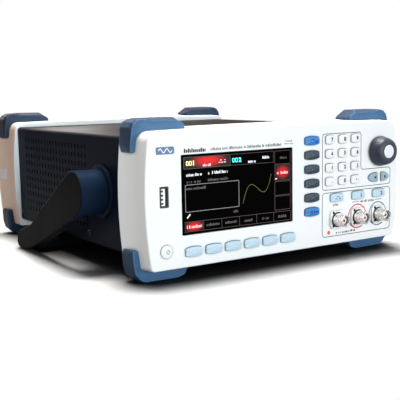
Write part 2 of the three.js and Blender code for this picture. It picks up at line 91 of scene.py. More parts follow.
class Shader:
    """A node tree being built. An input may be given a value or another node's output."""

    def __init__(self, owner, clear=True):
        owner.use_nodes = True
        self.tree = owner.node_tree
        if clear:
            self.tree.nodes.clear()

    def link(self, source, socket):
        self.tree.links.new(source, socket)

    def add(self, kind, inputs=(), **settings):
        node = self.tree.nodes.new("ShaderNode" + kind)
        for key, value in settings.items():
            setattr(node, key, value)
        for key, value in dict(inputs).items():
            if isinstance(value, bpy.types.NodeSocket):
                self.link(value, node.inputs[key])
            else:
                node.inputs[key].default_value = value
        return node

    def blend(self, under, over, factor):
        mix = self.add("Mix", data_type="RGBA", inputs={0: factor, 6: under, 7: over})
        return mix.outputs[2]

    def ramp(self, value, start, end, to_start=0.0, to_end=1.0, smooth=False):
        node = self.add("MapRange", {0: value, "From Min": start, "From Max": end,
                                     "To Min": to_start, "To Max": to_end},
                        interpolation_type="SMOOTHSTEP" if smooth else "LINEAR")
        return node.outputs[0]

    def math(self, operation, first, second):
        return self.add("Math", {0: first, 1: second}, operation=operation).outputs[0]

    def vector(self, operation, *inputs):
        node = self.add("VectorMath", dict(enumerate(inputs)), operation=operation)
        return node.outputs["Value" if operation in ("LENGTH", "DOT_PRODUCT") else 0]


MATS = {}


def material(name, colour, rough=0.5, metal=0.0, vary=0.05, vary_scale=28, grain=1300,
             bump=0.25, bump_mm=0.06, rough_vary=0.08, spec=0.5, emit=0.0, stretch=None,
             speckle=None, zone=None, side=None, top=None, edge=None, wear_and_highlight=None, shade_and_grime=None):
    """Principled surface with broad mottling and a fine grain.

    vary, vary_scale: strength and scale of the mottling; rough_vary is its share in roughness
    grain, stretch: scale of the fine noise and its stretch along the axes
    speckle: second colour in the fine noise
    zone: (depth, z, radius, colour), another tone round an axis along X, used as a painted
    highlight
    side, top: (amount, colour) on faces turned sideways or up: painted shade on the sides, a
    painted sheen on the tops
    edge: (amount, colour, radius in mm) where the surface turns: a painted highlight
    wear_and_highlight: (amount, colour) on raised edges, edge wear that also paints highlights
    shade_and_grime: (amount, colour) in crevices, painted shade that also stands for grime
    """
    mat = MATS[name] = bpy.data.materials.new(name)
    shader = Shader(mat)
    coords = shader.add("TexCoord").outputs["Object"]
    mottle = shader.add("TexNoise", {"Vector": coords, "Scale": vary_scale, "Detail": 4})
    mottle = mottle.outputs["Fac"]
    if bump or speckle:
        mapping = shader.add("Mapping", {0: coords, "Scale": stretch or (1, 1, 1)}).outputs[0]
        fine = shader.add("TexNoise", {"Vector": mapping, "Scale": grain, "Detail": 3,
                                       "Roughness": 0.6}).outputs["Fac"]
    base = rgba(colour)[:3]
    last = shader.blend((*[max(0, v * (1 - vary)) for v in base], 1),
                        (*[min(1, v * (1 + vary)) for v in base], 1), mottle)
    if speckle:
        last = shader.blend(last, rgba(speckle), shader.ramp(fine, 0.56, 0.70))
    # painted highlight: another tone round an axis along X
    if zone:
        depth, z, radius, tone = zone
        mapping = shader.add("Mapping", {
            0: coords, "Location": (0, -(depth - ORIGIN_DEPTH) / 1e3, -z / 1e3),
            "Scale": (0, 1, 1)})
        distance = shader.vector("LENGTH", mapping.outputs[0])
        factor = shader.ramp(distance, radius / 1e3 + 0.004, radius / 1e3, smooth=True)
        last = shader.blend(last, rgba(tone), factor)
    # painted shade on faces turned sideways, painted sheen on faces turned up
    if side or top:
        normal = shader.add("NewGeometry").outputs["Normal"]
        if side:
            facing = shader.add("SeparateXYZ", {0: normal}).outputs[0]
            facing = shader.add("Math", {0: facing}, operation="ABSOLUTE").outputs[0]
            factor = shader.ramp(facing, 0.45, 0.95, to_end=side[0], smooth=True)
            last = shader.blend(last, rgba(side[1]), factor)
        if top:
            facing = shader.add("SeparateXYZ", {0: normal}).outputs[2]
            factor = shader.ramp(facing, 0.45, 0.95, to_end=top[0], smooth=True)
            last = shader.blend(last, rgba(top[1]), factor)
    # painted highlight where the surface turns
    if edge:
        amount, tone, radius = edge
        rounded = shader.add("Bevel", {"Radius": radius / 1e3}, samples=4).outputs[0]
        normal = shader.add("NewGeometry").outputs["Normal"]
        turned = shader.vector("DOT_PRODUCT", rounded, normal)
        factor = shader.ramp(turned, 0.999, 0.955, to_end=amount)
        last = shader.blend(last, rgba(tone), factor)
    # lighter raised edges: edge wear that also paints highlights
    if wear_and_highlight:
        raised = shader.add("NewGeometry").outputs["Pointiness"]
        factor = shader.math("MULTIPLY", shader.ramp(raised, 0.515, 0.60, to_end=wear_and_highlight[0]), mottle)
        last = shader.blend(last, rgba(wear_and_highlight[1]), factor)
    # darker crevices: painted shade that also stands for grime
    if shade_and_grime:
        open_sky = shader.add("AmbientOcclusion", {"Distance": 0.0022}, samples=4).outputs["AO"]
        factor = shader.ramp(open_sky, 0.25, 0.95, to_start=shade_and_grime[0], to_end=0.0)
        last = shader.blend(last, rgba(shade_and_grime[1]), factor)
    inputs = {"Base Color": last, "Metallic": metal, "Specular IOR Level": spec,
              "Roughness": shader.ramp(mottle, 0.0, 1.0, to_start=max(0.02, rough - rough_vary),
                                       to_end=min(1, rough + rough_vary))}
    if bump:
        relief = shader.add("Bump", {"Strength": bump, "Distance": bump_mm / 1e3, "Height": fine})
        inputs["Normal"] = relief.outputs[0]
    if emit:
        inputs["Emission Color"] = last
        inputs["Emission Strength"] = emit
    surface = shader.add("BsdfPrincipled", inputs)
    shader.add("OutputMaterial", {0: surface.outputs[0]})


def glow_material(name, colour, x, z, radius_x, radius_z):
    """A lit patch that fades out from (x, z) to black, in the plane of the screen."""
    mat = MATS[name] = bpy.data.materials.new(name)
    shader = Shader(mat)
    coords = shader.add("TexCoord").outputs["Object"]
    mapping = shader.add("Mapping", {0: coords, "Location": (-x / radius_x, 0, -z / radius_z),
                                     "Scale": (1e3 / radius_x, 0, 1e3 / radius_z)})
    distance = shader.vector("LENGTH", mapping.outputs[0])
    fade = shader.ramp(distance, 0.15, 1.0, to_start=1.0, to_end=0.0, smooth=True)
    noise = shader.add("TexNoise", {"Vector": coords, "Scale": 4000}).outputs["Fac"]
    flicker = shader.ramp(noise, 0.0, 1.0, to_start=0.9, to_end=1.1)
    power = shader.math("MULTIPLY", shader.math("MULTIPLY", fade, flicker), 1.0)
    surface = shader.add("BsdfPrincipled", {
        "Base Color": (0.004, 0.003, 0.003, 1), "Roughness": 0.3, "Specular IOR Level": 0.2,
        "Emission Color": rgba(colour), "Emission Strength": power})
    shader.add("OutputMaterial", {0: surface.outputs[0]})


# ------------------------------------------------------------------ materials
MOULDED = dict(rough=0.46, vary=0.012, vary_scale=18, grain=1500, bump=0.16)
RUBBER = dict(vary=0.08, vary_scale=40, grain=1400, bump=0.3)
NYLON = dict(rough=0.46, vary=0.12, vary_scale=30, bump=0.4, bump_mm=0.08)
NICKEL = dict(vary_scale=150, grain=900, bump_mm=0.03)
BOARD = dict(vary_scale=60, grain=400, bump=0.4, bump_mm=0.05)

material("frame_white_moulded", (0.925, 0.935, 0.935), wear_and_highlight=(0.25, (0.98, 0.98, 0.98)),
         shade_and_grime=(0.55, (0.33, 0.34, 0.36)), **MOULDED)
# the warm brownish tone on faces turned up is a painted sheen on the dark navy paint
material("sleeve_powder_coat", (0.036, 0.068, 0.118), rough=0.44, vary=0.12, vary_scale=14,
         grain=1700, bump=0.45, bump_mm=0.08, spec=0.035, speckle=(0.052, 0.090, 0.150),
         wear_and_highlight=(0.3, (0.13, 0.16, 0.21)), top=(0.8, (0.20, 0.17, 0.165)))
# darker sides are painted shade, the brownish tops a painted sheen, the light blue on edges a
# painted highlight
material("bumper_slate_rubber", (0.20, 0.335, 0.475), rough=0.46, spec=0.20,
         wear_and_highlight=(0.8, (0.42, 0.60, 0.76)), shade_and_grime=(0.5, (0.05, 0.06, 0.10)),
         side=(0.9, (0.115, 0.185, 0.28)), top=(0.75, (0.24, 0.26, 0.33)),
         edge=(0.55, (0.40, 0.60, 0.77), 0.9), **RUBBER)
# darker copy of the same bumper rubber for the rear bumpers: painted shade, with painted side
# shade, top sheen and edge highlight
material("bumper_slate_rubber_rear_shaded", (0.135, 0.20, 0.285), rough=0.48, spec=0.18,
         shade_and_grime=(0.5, (0.04, 0.05, 0.08)), side=(0.9, (0.10, 0.13, 0.185)),
         top=(0.8, (0.20, 0.19, 0.235)), edge=(0.5, (0.24, 0.36, 0.50), 0.9), **RUBBER)
# the bluish tone round the pivot and on raised edges is a painted highlight; the near-black flat
# faces are painted shade
material("handle_black_nylon", (0.062, 0.068, 0.082), spec=0.018,
         wear_and_highlight=(0.35, (0.10, 0.14, 0.19)), zone=(76.3, 59.0, 20.5, (0.085, 0.145, 0.225)),
         side=(1.0, (0.050, 0.048, 0.054)), **NYLON)
# black nylon with a blue base colour and blue raised edges: a painted bluish sheen
material("hub_black_nylon_blue_sheen", (0.060, 0.100, 0.155), spec=0.04,
         wear_and_highlight=(0.5, (0.14, 0.22, 0.32)), **NYLON)
# black film behind the vent slots: painted shade
material("shade_film_black", (0.030, 0.032, 0.038), rough=0.6, vary=0.12, vary_scale=40, grain=900,
         bump=0.2, spec=0.02)
# white rear frame whose sideways faces turn warm tan: painted shade
material("frame_white_shaded_sides", (0.90, 0.925, 0.93), wear_and_highlight=(0.25, (0.97, 0.97, 0.96)),
         shade_and_grime=(0.4, (0.33, 0.34, 0.36)), side=(0.9, (0.76, 0.655, 0.585)), **MOULDED)

# name, colour, roughness, mottling, bump, wear_and_highlight (edge wear and painted highlight),
# shade_and_grime (painted shade and grime)
for name, colour, rough, vary, bump, wear_and_highlight, shade_and_grime in (
        ("key_pale_blue_satin", (0.72, 0.82, 0.875), 0.42, 0.03, 0.15,
         (0.6, (0.88, 0.94, 0.97)), (0.5, (0.25, 0.33, 0.40))),
        ("key_bright_blue_satin", (0.07, 0.45, 0.74), 0.38, 0.05, 0.15,
         (0.7, (0.55, 0.82, 1.0)), (0.6, (0.02, 0.12, 0.3))),
        ("key_grey_blue_satin", (0.56, 0.67, 0.73), 0.42, 0.03, 0.15,
         (0.6, (0.80, 0.88, 0.92)), (0.6, (0.15, 0.22, 0.28))),
        ("key_slate_satin", (0.09, 0.17, 0.235), 0.42, 0.06, 0.15,
         (0.6, (0.45, 0.53, 0.64)), (0.6, (0.06, 0.07, 0.10))),
        ("key_white_satin", (0.905, 0.92, 0.92), 0.42, 0.015, 0.12,
         (0.5, (1, 1, 1)), (0.75, (0.30, 0.33, 0.36)))):
    material(name, colour, rough=rough, vary=vary, vary_scale=90, bump=bump, wear_and_highlight=wear_and_highlight, shade_and_grime=shade_and_grime)

# name, colour, roughness, mottling
for name, colour, rough, vary in (
        ("ink_grey", (0.27, 0.31, 0.31), 0.55, 0.08),
        ("ink_dark", (0.06, 0.065, 0.075), 0.55, 0.1),
        ("ink_soft", (0.20, 0.235, 0.28), 0.55, 0.08),
        ("ink_red", (0.80, 0.10, 0.20), 0.5, 0.06),
        ("ink_blue", (0.27, 0.42, 0.54), 0.5, 0.06),
        ("ink_navy", (0.05, 0.16, 0.42), 0.5, 0.06),
        ("ink_white", (0.93, 0.95, 0.96), 0.5, 0.03),
        ("ink_orange", (0.88, 0.36, 0.16), 0.5, 0.06)):
    material(name, colour, rough=rough, vary=vary, vary_scale=200, bump=0.1)

material("badge_blue", (0.30, 0.42, 0.58), rough=0.4, vary=0.06, vary_scale=120, bump=0.1)
material("sticker_pale", (0.80, 0.80, 0.82), vary=0.04, vary_scale=90, bump=0.1)
material("lens_black_gloss", (0.012, 0.011, 0.013), rough=0.10, rough_vary=0.02, vary=0.2,
         vary_scale=60, bump=0.0, spec=0.015)
material("nickel_satin", (0.93, 0.925, 0.915), rough=0.38, rough_vary=0.05, metal=0.75,
         vary=0.03, bump=0.08, shade_and_grime=(0.35, (0.35, 0.33, 0.32)), **NICKEL)
material("nickel_plate", (0.90, 0.89, 0.875), rough=0.13, rough_vary=0.04, metal=1.0,
         bump=0.10, stretch=(1, 6, 1), shade_and_grime=(0.5, (0.10, 0.08, 0.07)), **NICKEL)
material("brass_gold", (0.80, 0.42, 0.30), rough=0.22, metal=1.0, vary=0.08, vary_scale=300,
         bump=0.08)
# bluish tint is a painted reflection and the strong crevice darkening painted shade inside the
# socket mouth
material("nickel_bore", (0.80, 0.87, 0.92), rough=0.16, rough_vary=0.04, metal=1.0,
         vary=0.06, bump=0.08, shade_and_grime=(0.9, (0.05, 0.06, 0.08)), **NICKEL)
material("ptfe_white", (0.90, 0.88, 0.85), vary=0.03, vary_scale=200, bump=0.1)
material("plated_steel", (0.66, 0.67, 0.69), rough=0.30, metal=1.0, vary=0.06, vary_scale=120,
         grain=900, bump=0.12, bump_mm=0.03, stretch=(1, 1, 9))
material("screw_dark", (0.16, 0.16, 0.17), rough=0.35, metal=0.8, vary=0.15, vary_scale=300,
         bump=0.1)
material("black_thermoplastic", (0.085, 0.085, 0.09), rough=0.38, vary=0.12, vary_scale=60,
         bump=0.3, wear_and_highlight=(0.4, (0.2, 0.2, 0.21)))
material("socket_black", (0.03, 0.03, 0.033), rough=0.4, vary=0.1, vary_scale=100, bump=0.2)
material("tongue_pale", (0.95, 0.975, 0.985), rough=0.45, vary=0.03, vary_scale=200, bump=0.1)
material("knob_soft_touch", (0.115, 0.16, 0.215), rough=0.48, vary=0.08, vary_scale=60,
         grain=1500, bump=0.35, wear_and_highlight=(0.35, (0.3, 0.33, 0.37)))
material("knob_disc_silver", (0.90, 0.905, 0.93), rough=0.36, metal=0.15, vary=0.02,
         vary_scale=120, grain=1200, bump=0.10)
material("display_metal", (0.42, 0.43, 0.45), rough=0.35, metal=0.9, vary=0.08, vary_scale=60,
         bump=0.15)
material("board_mask_green", (0.10, 0.34, 0.20), rough=0.35, vary=0.12,
         speckle=(0.16, 0.42, 0.26), **BOARD)
material("board_mask_tan", (0.46, 0.42, 0.24), rough=0.45, vary=0.15,
         speckle=(0.56, 0.50, 0.30), **BOARD)


# ------------------------------------------------------------------ mesh objects
def link_mesh(mesh, name="part"):
    ob = bpy.data.objects.new(name, mesh)
    scene.collection.objects.link(ob)
    return ob


def tidy(mesh, weld=False):
    """Turns the normals outward, after welding coincident points if asked."""
    edit = bmesh.new()
    edit.from_mesh(mesh)
    if weld:
        bmesh.ops.remove_doubles(edit, verts=edit.verts, dist=1e-7)
    bmesh.ops.recalc_face_normals(edit, faces=edit.faces)
    edit.to_mesh(mesh)
    edit.free()


def solid(verts, faces):
    """Mesh object from points (x, depth, z)."""
    mesh = bpy.data.meshes.new("part")
    mesh.from_pydata([to_metres(*v) for v in verts], [], faces)
    tidy(mesh, weld=True)
    return link_mesh(mesh)


def apply_modifiers(ob):
    bpy.context.view_layer.update()
    graph = bpy.context.evaluated_depsgraph_get()
    mesh = bpy.data.meshes.new_from_object(ob.evaluated_get(graph), depsgraph=graph)
    old = ob.data
    ob.modifiers.clear()
    ob.data = mesh
    bpy.data.meshes.remove(old)


def bevel(ob, width, angle, clamp=False):
    mod = ob.modifiers.new("bev", "BEVEL")
    mod.width = width / 1e3
    mod.segments = 4
    mod.limit_method = "ANGLE"
    mod.angle_limit = radians(angle)
    mod.use_clamp_overlap = clamp
    apply_modifiers(ob)


def discard(ob):
    mesh = ob.data
    bpy.data.objects.remove(ob)
    bpy.data.meshes.remove(mesh)


def boolean(ob, other, operation="DIFFERENCE"):
    """Combines ob with other, which is used up.

    If nothing is left it tries once more, allowing self-intersections; if that fails
    too, ob keeps its uncut shape.
    """
    spare = ob.data.copy()
    for use_self in (False, True):
        mod = ob.modifiers.new("bool", "BOOLEAN")
        mod.operation = operation
        mod.solver = "EXACT"
        mod.use_self = use_self
        mod.object = other
        apply_modifiers(ob)
        if len(ob.data.vertices):
            break
        ob.data = spare.copy()
        tidy(ob.data)
        tidy(other.data)
    discard(other)


def merge(obs):
    """Several closed shapes into one object, without a boolean."""
    edit = bmesh.new()
    for ob in obs:
        edit.from_mesh(ob.data)
    mesh = bpy.data.meshes.new("part")
    edit.to_mesh(mesh)
    edit.free()
    for ob in obs:
        discard(ob)
    return link_mesh(mesh)


def remap(ob, change):
    """Moves every vertex; change gets it in metres, with y measured from the front face."""
    for vertex in ob.data.vertices:
        x, y, z = vertex.co
        vertex.co = change(Vector((x, y + ORIGIN_DEPTH / 1e3, z)))


def place(name, ob, mat, body="chassis", replaces=(), slot=None, angle=32, weighted=True):
    """Names, shades and registers a finished piece; angle is where edges turn sharp."""
    ob.name = ob.data.name = name
    for polygon in ob.data.polygons:
        polygon.use_smooth = True
    ob.data.set_sharp_from_angle(angle=radians(angle))
    if weighted:
        mod = ob.modifiers.new("wn", "WEIGHTED_NORMAL")
        mod.keep_sharp = True
        mod.weight = 60
    ob.data.materials.clear()
    ob.data.materials.append(MATS[mat])
    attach(ob, body)
    if replaces:
        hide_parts(*replaces)


def place_print(name, ob, mat, body="chassis"):
    place(name, ob, mat, body=body, angle=30, weighted=False)


# ------------------------------------------------------------------ outlines in x and z
def rounded_rect(x, z, width, height, radius, steps=6):
    points = []
    radius = max(radius, 0.001)
    for sign_x, sign_z, start in ((1, 1, 0), (-1, 1, 90), (-1, -1, 180), (1, -1, 270)):
        for k in range(steps + 1):
            angle = radians(start + 90 * k / steps)
            points.append((x + sign_x * (width / 2 - radius) + radius * cos(angle),
                           z + sign_z * (height / 2 - radius) + radius * sin(angle)))
    return points


def circle(x, z, radius, sides):
    return [(x + radius * cos(2 * pi * k / sides), z + radius * sin(2 * pi * k / sides))
            for k in range(sides)]


def growing_rect(x, z, width, height, radius, steps, least_radius=0.001):
    """Function giving the rectangle grown all round by its argument."""
    return lambda grow: rounded_rect(x, z, width + 2 * grow, height + 2 * grow,
                                     max(radius + grow, least_radius), steps)


def growing_circle(x, z, radius, sides=40):
    return lambda grow: circle(x, z, radius + grow, sides)


def barrel(x, z, width, height, grow, bow, radius):
    """Key outline whose top and bottom bulge, falling off by bow towards the ends."""
    half, crest, corner = width / 2 + grow, height / 2 + grow, max(radius + grow, 0.05)

    def top(across):
        return crest - bow * (across / half) ** 2
    corner_x = half - corner
    corner_z = top(corner_x) - corner
    right = [(corner_x + corner * cos(radians(90 * k / 5)),
              corner_z + corner * sin(radians(90 * k / 5))) for k in range(6)]
    right += [(corner_x * (1 - 2 * k / 8), top(corner_x * (1 - 2 * k / 8))) for k in range(1, 4)]
    points = right + [(0, crest)] + [(-a, b) for a, b in reversed(right)]
    points += [(-a, -b) for a, b in right] + [(0, -crest)] + [(a, -b) for a, b in reversed(right)]
    return [(x + a, z + b) for a, b in points]


def half_lens(x, z, width, height, grow, side):
    """Outline flat on the inner edge and round on the outer end (side -1 points left)."""
    half, rise = width / 2 + grow, height / 2 + grow
    corner = 0.9 + grow * 0.5
    nose = 2 * half * 0.86
    points = []
    for k in range(15):
        angle = radians(-90 + 180 * k / 14)
        points.append((-half + 2 * half - nose + nose * abs(cos(angle)) ** 0.85,
                       rise * sin(angle)))
    points += [(-half + corner * 0.5, rise), (-half, rise - corner), (-half, 0.0),
               (-half, -rise + corner), (-half + corner * 0.5, -rise)]
    return [(x + side * a, z + side * b) for a, b in points]


def scaled(points, x, z, scale_x, scale_z):
    return [(x + (a - x) * scale_x, z + (b - z) * scale_z) for a, b in points]


def rounded_path(corners, radius, steps=6):
    """Closed path through corners (x, z) with every corner rounded."""
    points = []
    for i, corner in enumerate(corners):
        here = Vector(corner)
        back = (Vector(corners[i - 1]) - here).normalized()
        ahead = (Vector(corners[(i + 1) % len(corners)]) - here).normalized()
        start, end = here + back * radius, here + ahead * radius
        centre = here + (back + ahead) * radius
        angle = atan2(start.y - centre.y, start.x - centre.x)
        turn = atan2(end.y - centre.y, end.x - centre.x) - angle
        turn = (turn + pi) % (2 * pi) - pi
        for k in range(steps + 1):
            t = angle + turn * k / steps
            points.append((centre.x + radius * cos(t), centre.y + radius * sin(t)))
    return points


def box_path(x0, z0, x1, z1, radius, steps=6):
    return rounded_path([(x0, z0), (x1, z0), (x1, z1), (x0, z1)], radius, steps)


def spline(points, steps=4, closed=False):
    """Catmull-Rom curve through the points."""
    out = []
    count = len(points)
    for i in range(count if closed else count - 1):
        before = points[(i - 1) % count] if closed or i > 0 else points[i]
        start, end = points[i], points[(i + 1) % count]
        after = points[(i + 2) % count] if closed or i < count - 2 else points[i + 1]
        for k in range(steps):
            t = k / steps
            out.append(tuple(
                0.5 * (2 * b + (-a + c) * t + (2 * a - 5 * b + 4 * c - d) * t * t
                       + (-a + 3 * b - 3 * c + d) * t ** 3)
                for a, b, c, d in zip(before, start, end, after)))
    if not closed:
        out.append(points[-1])
    return out


def fillet(profile, steps=4):
    """Profile with rounded corners: entries (u, v) or (u, v, radius)."""
    out = []
    for i, point in enumerate(profile):
        if len(point) < 3 or i in (0, len(profile) - 1):
            out.append(point[:2])
            continue
        corner = Vector(point[:2])
        back, ahead = Vector(profile[i - 1][:2]) - corner, Vector(profile[i + 1][:2]) - corner
        radius = min(point[2], back.length * 0.49, ahead.length * 0.49)
        start, end = corner + back.normalized() * radius, corner + ahead.normalized() * radius
        for k in range(steps + 1):
            t = k / steps
            mix = start * (1 - t) ** 2 + corner * 2 * t * (1 - t) + end * t * t
            out.append((mix.x, mix.y))
    return out


# ------------------------------------------------------------------ solids
def loft(rings):
    """Closed solid through rings of points (x, depth, z)."""
    count = len(rings[0])
    verts = [point for ring in rings for point in ring]
    faces = []
    for k in range(len(rings) - 1):
        for i in range(count):
            a, b = k * count + i, k * count + (i + 1) % count
            faces.append((a, b, b + count, a + count))
    faces.append(tuple(range(count - 1, -1, -1)))
    faces.append(tuple(range(len(verts) - count, len(verts))))
    return solid(verts, faces)


def at_depth(points, depth):
    return [(x, depth, z) for x, z in points]


def prism(points, front, back):
    return loft([at_depth(points, front), at_depth(points, back)])


def pill(outline, front, back, front_radius, back_radius):
    """Prism with rounded ends; outline(grow) gives the ring grown by grow."""
    rings = []
    for k in range(5):
        t = pi / 2 * k / 4
        rings.append(at_depth(outline(-front_radius * (1 - sin(t))),
                              front + front_radius * (1 - cos(t))))
    for k in range(5):
        t = pi / 2 * k / 4
        rings.append(at_depth(outline(-back_radius * (1 - cos(t))),
                              back - back_radius * (1 - sin(t))))
    kept = [rings[0]]
    for ring in rings[1:]:          # drop repeated rings
        if max(sum(abs(a - b) for a, b in zip(p, q)) for p, q in zip(ring, kept[-1])) > 1e-6:
            kept.append(ring)
    return loft(kept)


def extrude_x(points, x0, x1):
    """Polygon (depth, z) extruded along X."""
    return loft([[(x, depth, z) for depth, z in points] for x in (x0, x1)])


def lathe(profile, centre, sides, axis="y", flute=None):
    """Solid of revolution from (radius, station).

    centre is (x, z) for the y axis and (depth, z) for the x axis;
    flute(radius, station, angle) may change the radius.
    """
    verts, faces, rows = [], [], []
    for radius, station in profile:
        on_axis = radius < 1e-6
        rows.append(range(len(verts), len(verts) + (1 if on_axis else sides)))
        for k in range(len(rows[-1])):
            angle = 2 * pi * k / sides
            reach = 0 if on_axis else flute(radius, station, angle) if flute else radius
            u, v = centre[0] + reach * cos(angle), centre[1] + reach * sin(angle)
            verts.append((u, station, v) if axis == "y" else (station, u, v))
    for row, following in zip(rows, rows[1:]):
        for k in range(sides):
            corners = (row[k % len(row)], row[(k + 1) % len(row)],
                       following[(k + 1) % len(following)], following[k % len(following)])
            face = tuple(dict.fromkeys(corners))
            if len(face) > 2:
                faces.append(face)
    if len(rows[0]) > 1 and len(rows[-1]) > 1:      # the profile is a closed ring
        row, following = rows[-1], rows[0]
        for k in range(sides):
            after = (k + 1) % sides
            faces.append((row[k], row[after], following[after], following[k]))
    return solid(verts, faces)


def turned(profile, centre, sides, steps=4, axis="y"):
    """Solid of revolution with its profile corners rounded."""
    return lathe(fillet(profile, steps), centre, sides, axis)


def cross(x, z, length, width, radius, ends, second_ends=None):
    """Two crossing bars, for recesses and slots; ends are their (front, back) depths."""
    return merge([prism(rounded_rect(x, z, length, width, radius, 1), *ends),
                  prism(rounded_rect(x, z, width, length, radius, 1), *(second_ends or ends))])


# ------------------------------------------------------------------ printed marks
def flat(x, z):
    return 0.0


def offset_path(path, width, closed):
    """The two edges of a ribbon along a path."""
    count = len(path)
    left, right = [], []
    for i, point in enumerate(path):
        here = Vector(point)
        back = here - Vector(path[i - 1] if closed or i > 0 else point)
        ahead = Vector(path[(i + 1) % count] if closed or i < count - 1 else point) - here
        if back.length < 1e-9:
            back = ahead
        if ahead.length < 1e-9:
            ahead = back
        normal = Vector((-back.y, back.x)).normalized()
        middle = normal + Vector((-ahead.y, ahead.x)).normalized()
        middle = middle.normalized() if middle.length > 1e-6 else normal
        shift = width / 2 / max(0.35, middle.dot(normal))
        left.append(tuple(here + middle * shift))
        right.append(tuple(here - middle * shift))
    return left, right


def stroke(path, width, front=-0.05, back=0.04, closed=True, surface=flat):
    """Printed line: a thin ribbon along a path (x, z); front and back are from the surface."""
    count = len(path)
    edges = offset_path(path, width, closed)
    verts = [(x, surface(x, z) + depth, z)
             for depth in (front, back) for edge in edges for x, z in edge]
    faces = []
    for i in range(count if closed else count - 1):
        j = (i + 1) % count
        faces += [(i, j, count + j, count + i),
                  (2 * count + i, 3 * count + i, 3 * count + j, 2 * count + j),
                  (i, 2 * count + i, 2 * count + j, j),
                  (count + i, count + j, 3 * count + j, 3 * count + i)]
    if not closed:
        end = count - 1
        faces += [(0, count, 3 * count, 2 * count),
                  (end, 2 * count + end, 3 * count + end, count + end)]
    return solid(verts, faces)


def patch(points, surface, lift=0.05):
    """Printed area that follows a surface."""
    return loft([[(x, surface(x, z) + depth, z) for x, z in points] for depth in (-lift, 0.05)])


def glyph(text, size, x, z, depth_at, thick=0.09):
    """Generic numeral as a thin printed solid, centred at (x, z)."""
    curve = bpy.data.curves.new("numeral", "FONT")
    curve.body = text
    curve.size = size / 1e3
    curve.extrude = thick / 2 / 1e3
    curve.resolution_u = 4
    curve.align_x = "CENTER"
    curve.align_y = "CENTER"
    curve.offset = size / 1e3 * (0.028 if text == "3" else 0.045)
    ob = bpy.data.objects.new("numeral", curve)
    scene.collection.objects.link(ob)
    bpy.context.view_layer.update()
    graph = bpy.context.evaluated_depsgraph_get()
    mesh = bpy.data.meshes.new_from_object(ob.evaluated_get(graph), depsgraph=graph)
    bpy.data.objects.remove(ob)
    bpy.data.curves.remove(curve)
    across = [v.co.x for v in mesh.vertices]
    upward = [v.co.y for v in mesh.vertices]
    mid_x, mid_z = (min(across) + max(across)) / 2, (min(upward) + max(upward)) / 2
    # short edges, so the numeral follows a domed face
    edit = bmesh.new()
    edit.from_mesh(mesh)
    bmesh.ops.remove_doubles(edit, verts=edit.verts, dist=1e-7)
    for _ in range(4):
        long_edges = [e for e in edit.edges if e.calc_length() > 0.0005]
        if not long_edges:
            break
        bmesh.ops.subdivide_edges(edit, edges=long_edges, cuts=1)
        bmesh.ops.triangulate(edit, faces=[f for f in edit.faces if len(f.verts) > 3])
    edit.verts.ensure_lookup_table()
    edit.verts.index_update()
    verts = []
    for v in edit.verts:
        at_x, at_z = x + (v.co.x - mid_x) * 1e3, z + (v.co.y - mid_z) * 1e3
        verts.append((at_x, depth_at(at_x, at_z) - v.co.z * 1e3, at_z))
    faces = [tuple(v.index for v in f.verts) for f in edit.faces]
    edit.free()
    bpy.data.meshes.remove(mesh)
    return solid(verts, faces)


def scribble(x0, x1, z, height, seed, pitch=None):
    """Text-like rhythm of short upright dashes with no letters in it: (x0, x1, z, height)."""
    dashes = []
    x, state = x0, seed
    pitch = pitch or height * 0.52
    while x < x1 - 1e-6:
        state = (state * 1103515245 + 12345) & 0x7FFFFFFF
        draw = (state >> 8) % 8
        if draw == 0 and dashes:
            x += pitch * 0.8
            continue
        tall = height * (1.0 if draw in (1, 2) else 0.72)
        width = pitch * (0.36 if draw % 2 else 0.62)
        dashes.append((x, min(x + width, x1), z + (tall - height) / 2, tall))
        x += width + pitch * 0.34
    return dashes


def scribbles(*rows):
    return [dash for row in rows for dash in scribble(*row)]


def widened(dashes, extra):
    return [(x0, x1 + extra, z, height) for x0, x1, z, height in dashes]


def dash_prisms(dashes, corner=0.35, steps=3, front=-0.05, back=0.04):
    """Bars from (x0, x1, z, height); corner is the radius as a share of the shorter side."""
    return [prism(rounded_rect((x0 + x1) / 2, z, x1 - x0, height,
                               min(height, x1 - x0) * corner, steps), front, back)
            for x0, x1, z, height in dashes]


# ------------------------------------------------------------------ end frame sections
# Rows: depth, half width, top z, bottom z, side bow, corner radius
FRONT_ROWS = [
    (0, 117.6, 105.0, 11.5, 3.9, 6.5), (0.9, 118.7, 106.0, 10.6, 3.9, 7.5),
    (2.6, 119.3, 106.4, 10.1, 3.9, 8), (7, 119.7, 106.6, 9.8, 3.95, 8),
    (13, 120.3, 106.8, 9.5, 4.0, 8), (22, 122.3, 107.2, 8.9, 3.8, 8.5),
    (29.2, 124.5, 107.6, 8.4, 3.6, 9), (30, 124.0, 107.2, 8.8, 3.6, 9)]
REAR_ROWS = [
    (0, 119.4, 106.1, 9.9, 3.9, 8), (0.9, 119.9, 106.5, 9.6, 3.9, 8),
    (2.6, 120.1, 106.6, 9.5, 3.9, 8)] + FRONT_ROWS[4:]
NOSE_DEPTH = 2.6                # the front rows up to here give way to a rounded nose


def row_at(rows, depth):
    """Row at a depth between the first and the last."""
    for before, after in zip(rows, rows[1:]):
        if depth <= after[0] + 1e-9:
            t = (depth - before[0]) / (after[0] - before[0])
            return [a + (b - a) * t for a, b in zip(before, after)]


def side_x(row, z):
    """Half width of a frame section at height z."""
    _, half_width, top, bottom, bow, _ = row
    reach = max(top - MID_Z, MID_Z - bottom)
    return half_width - bow * ((z - MID_Z) / reach) ** 2


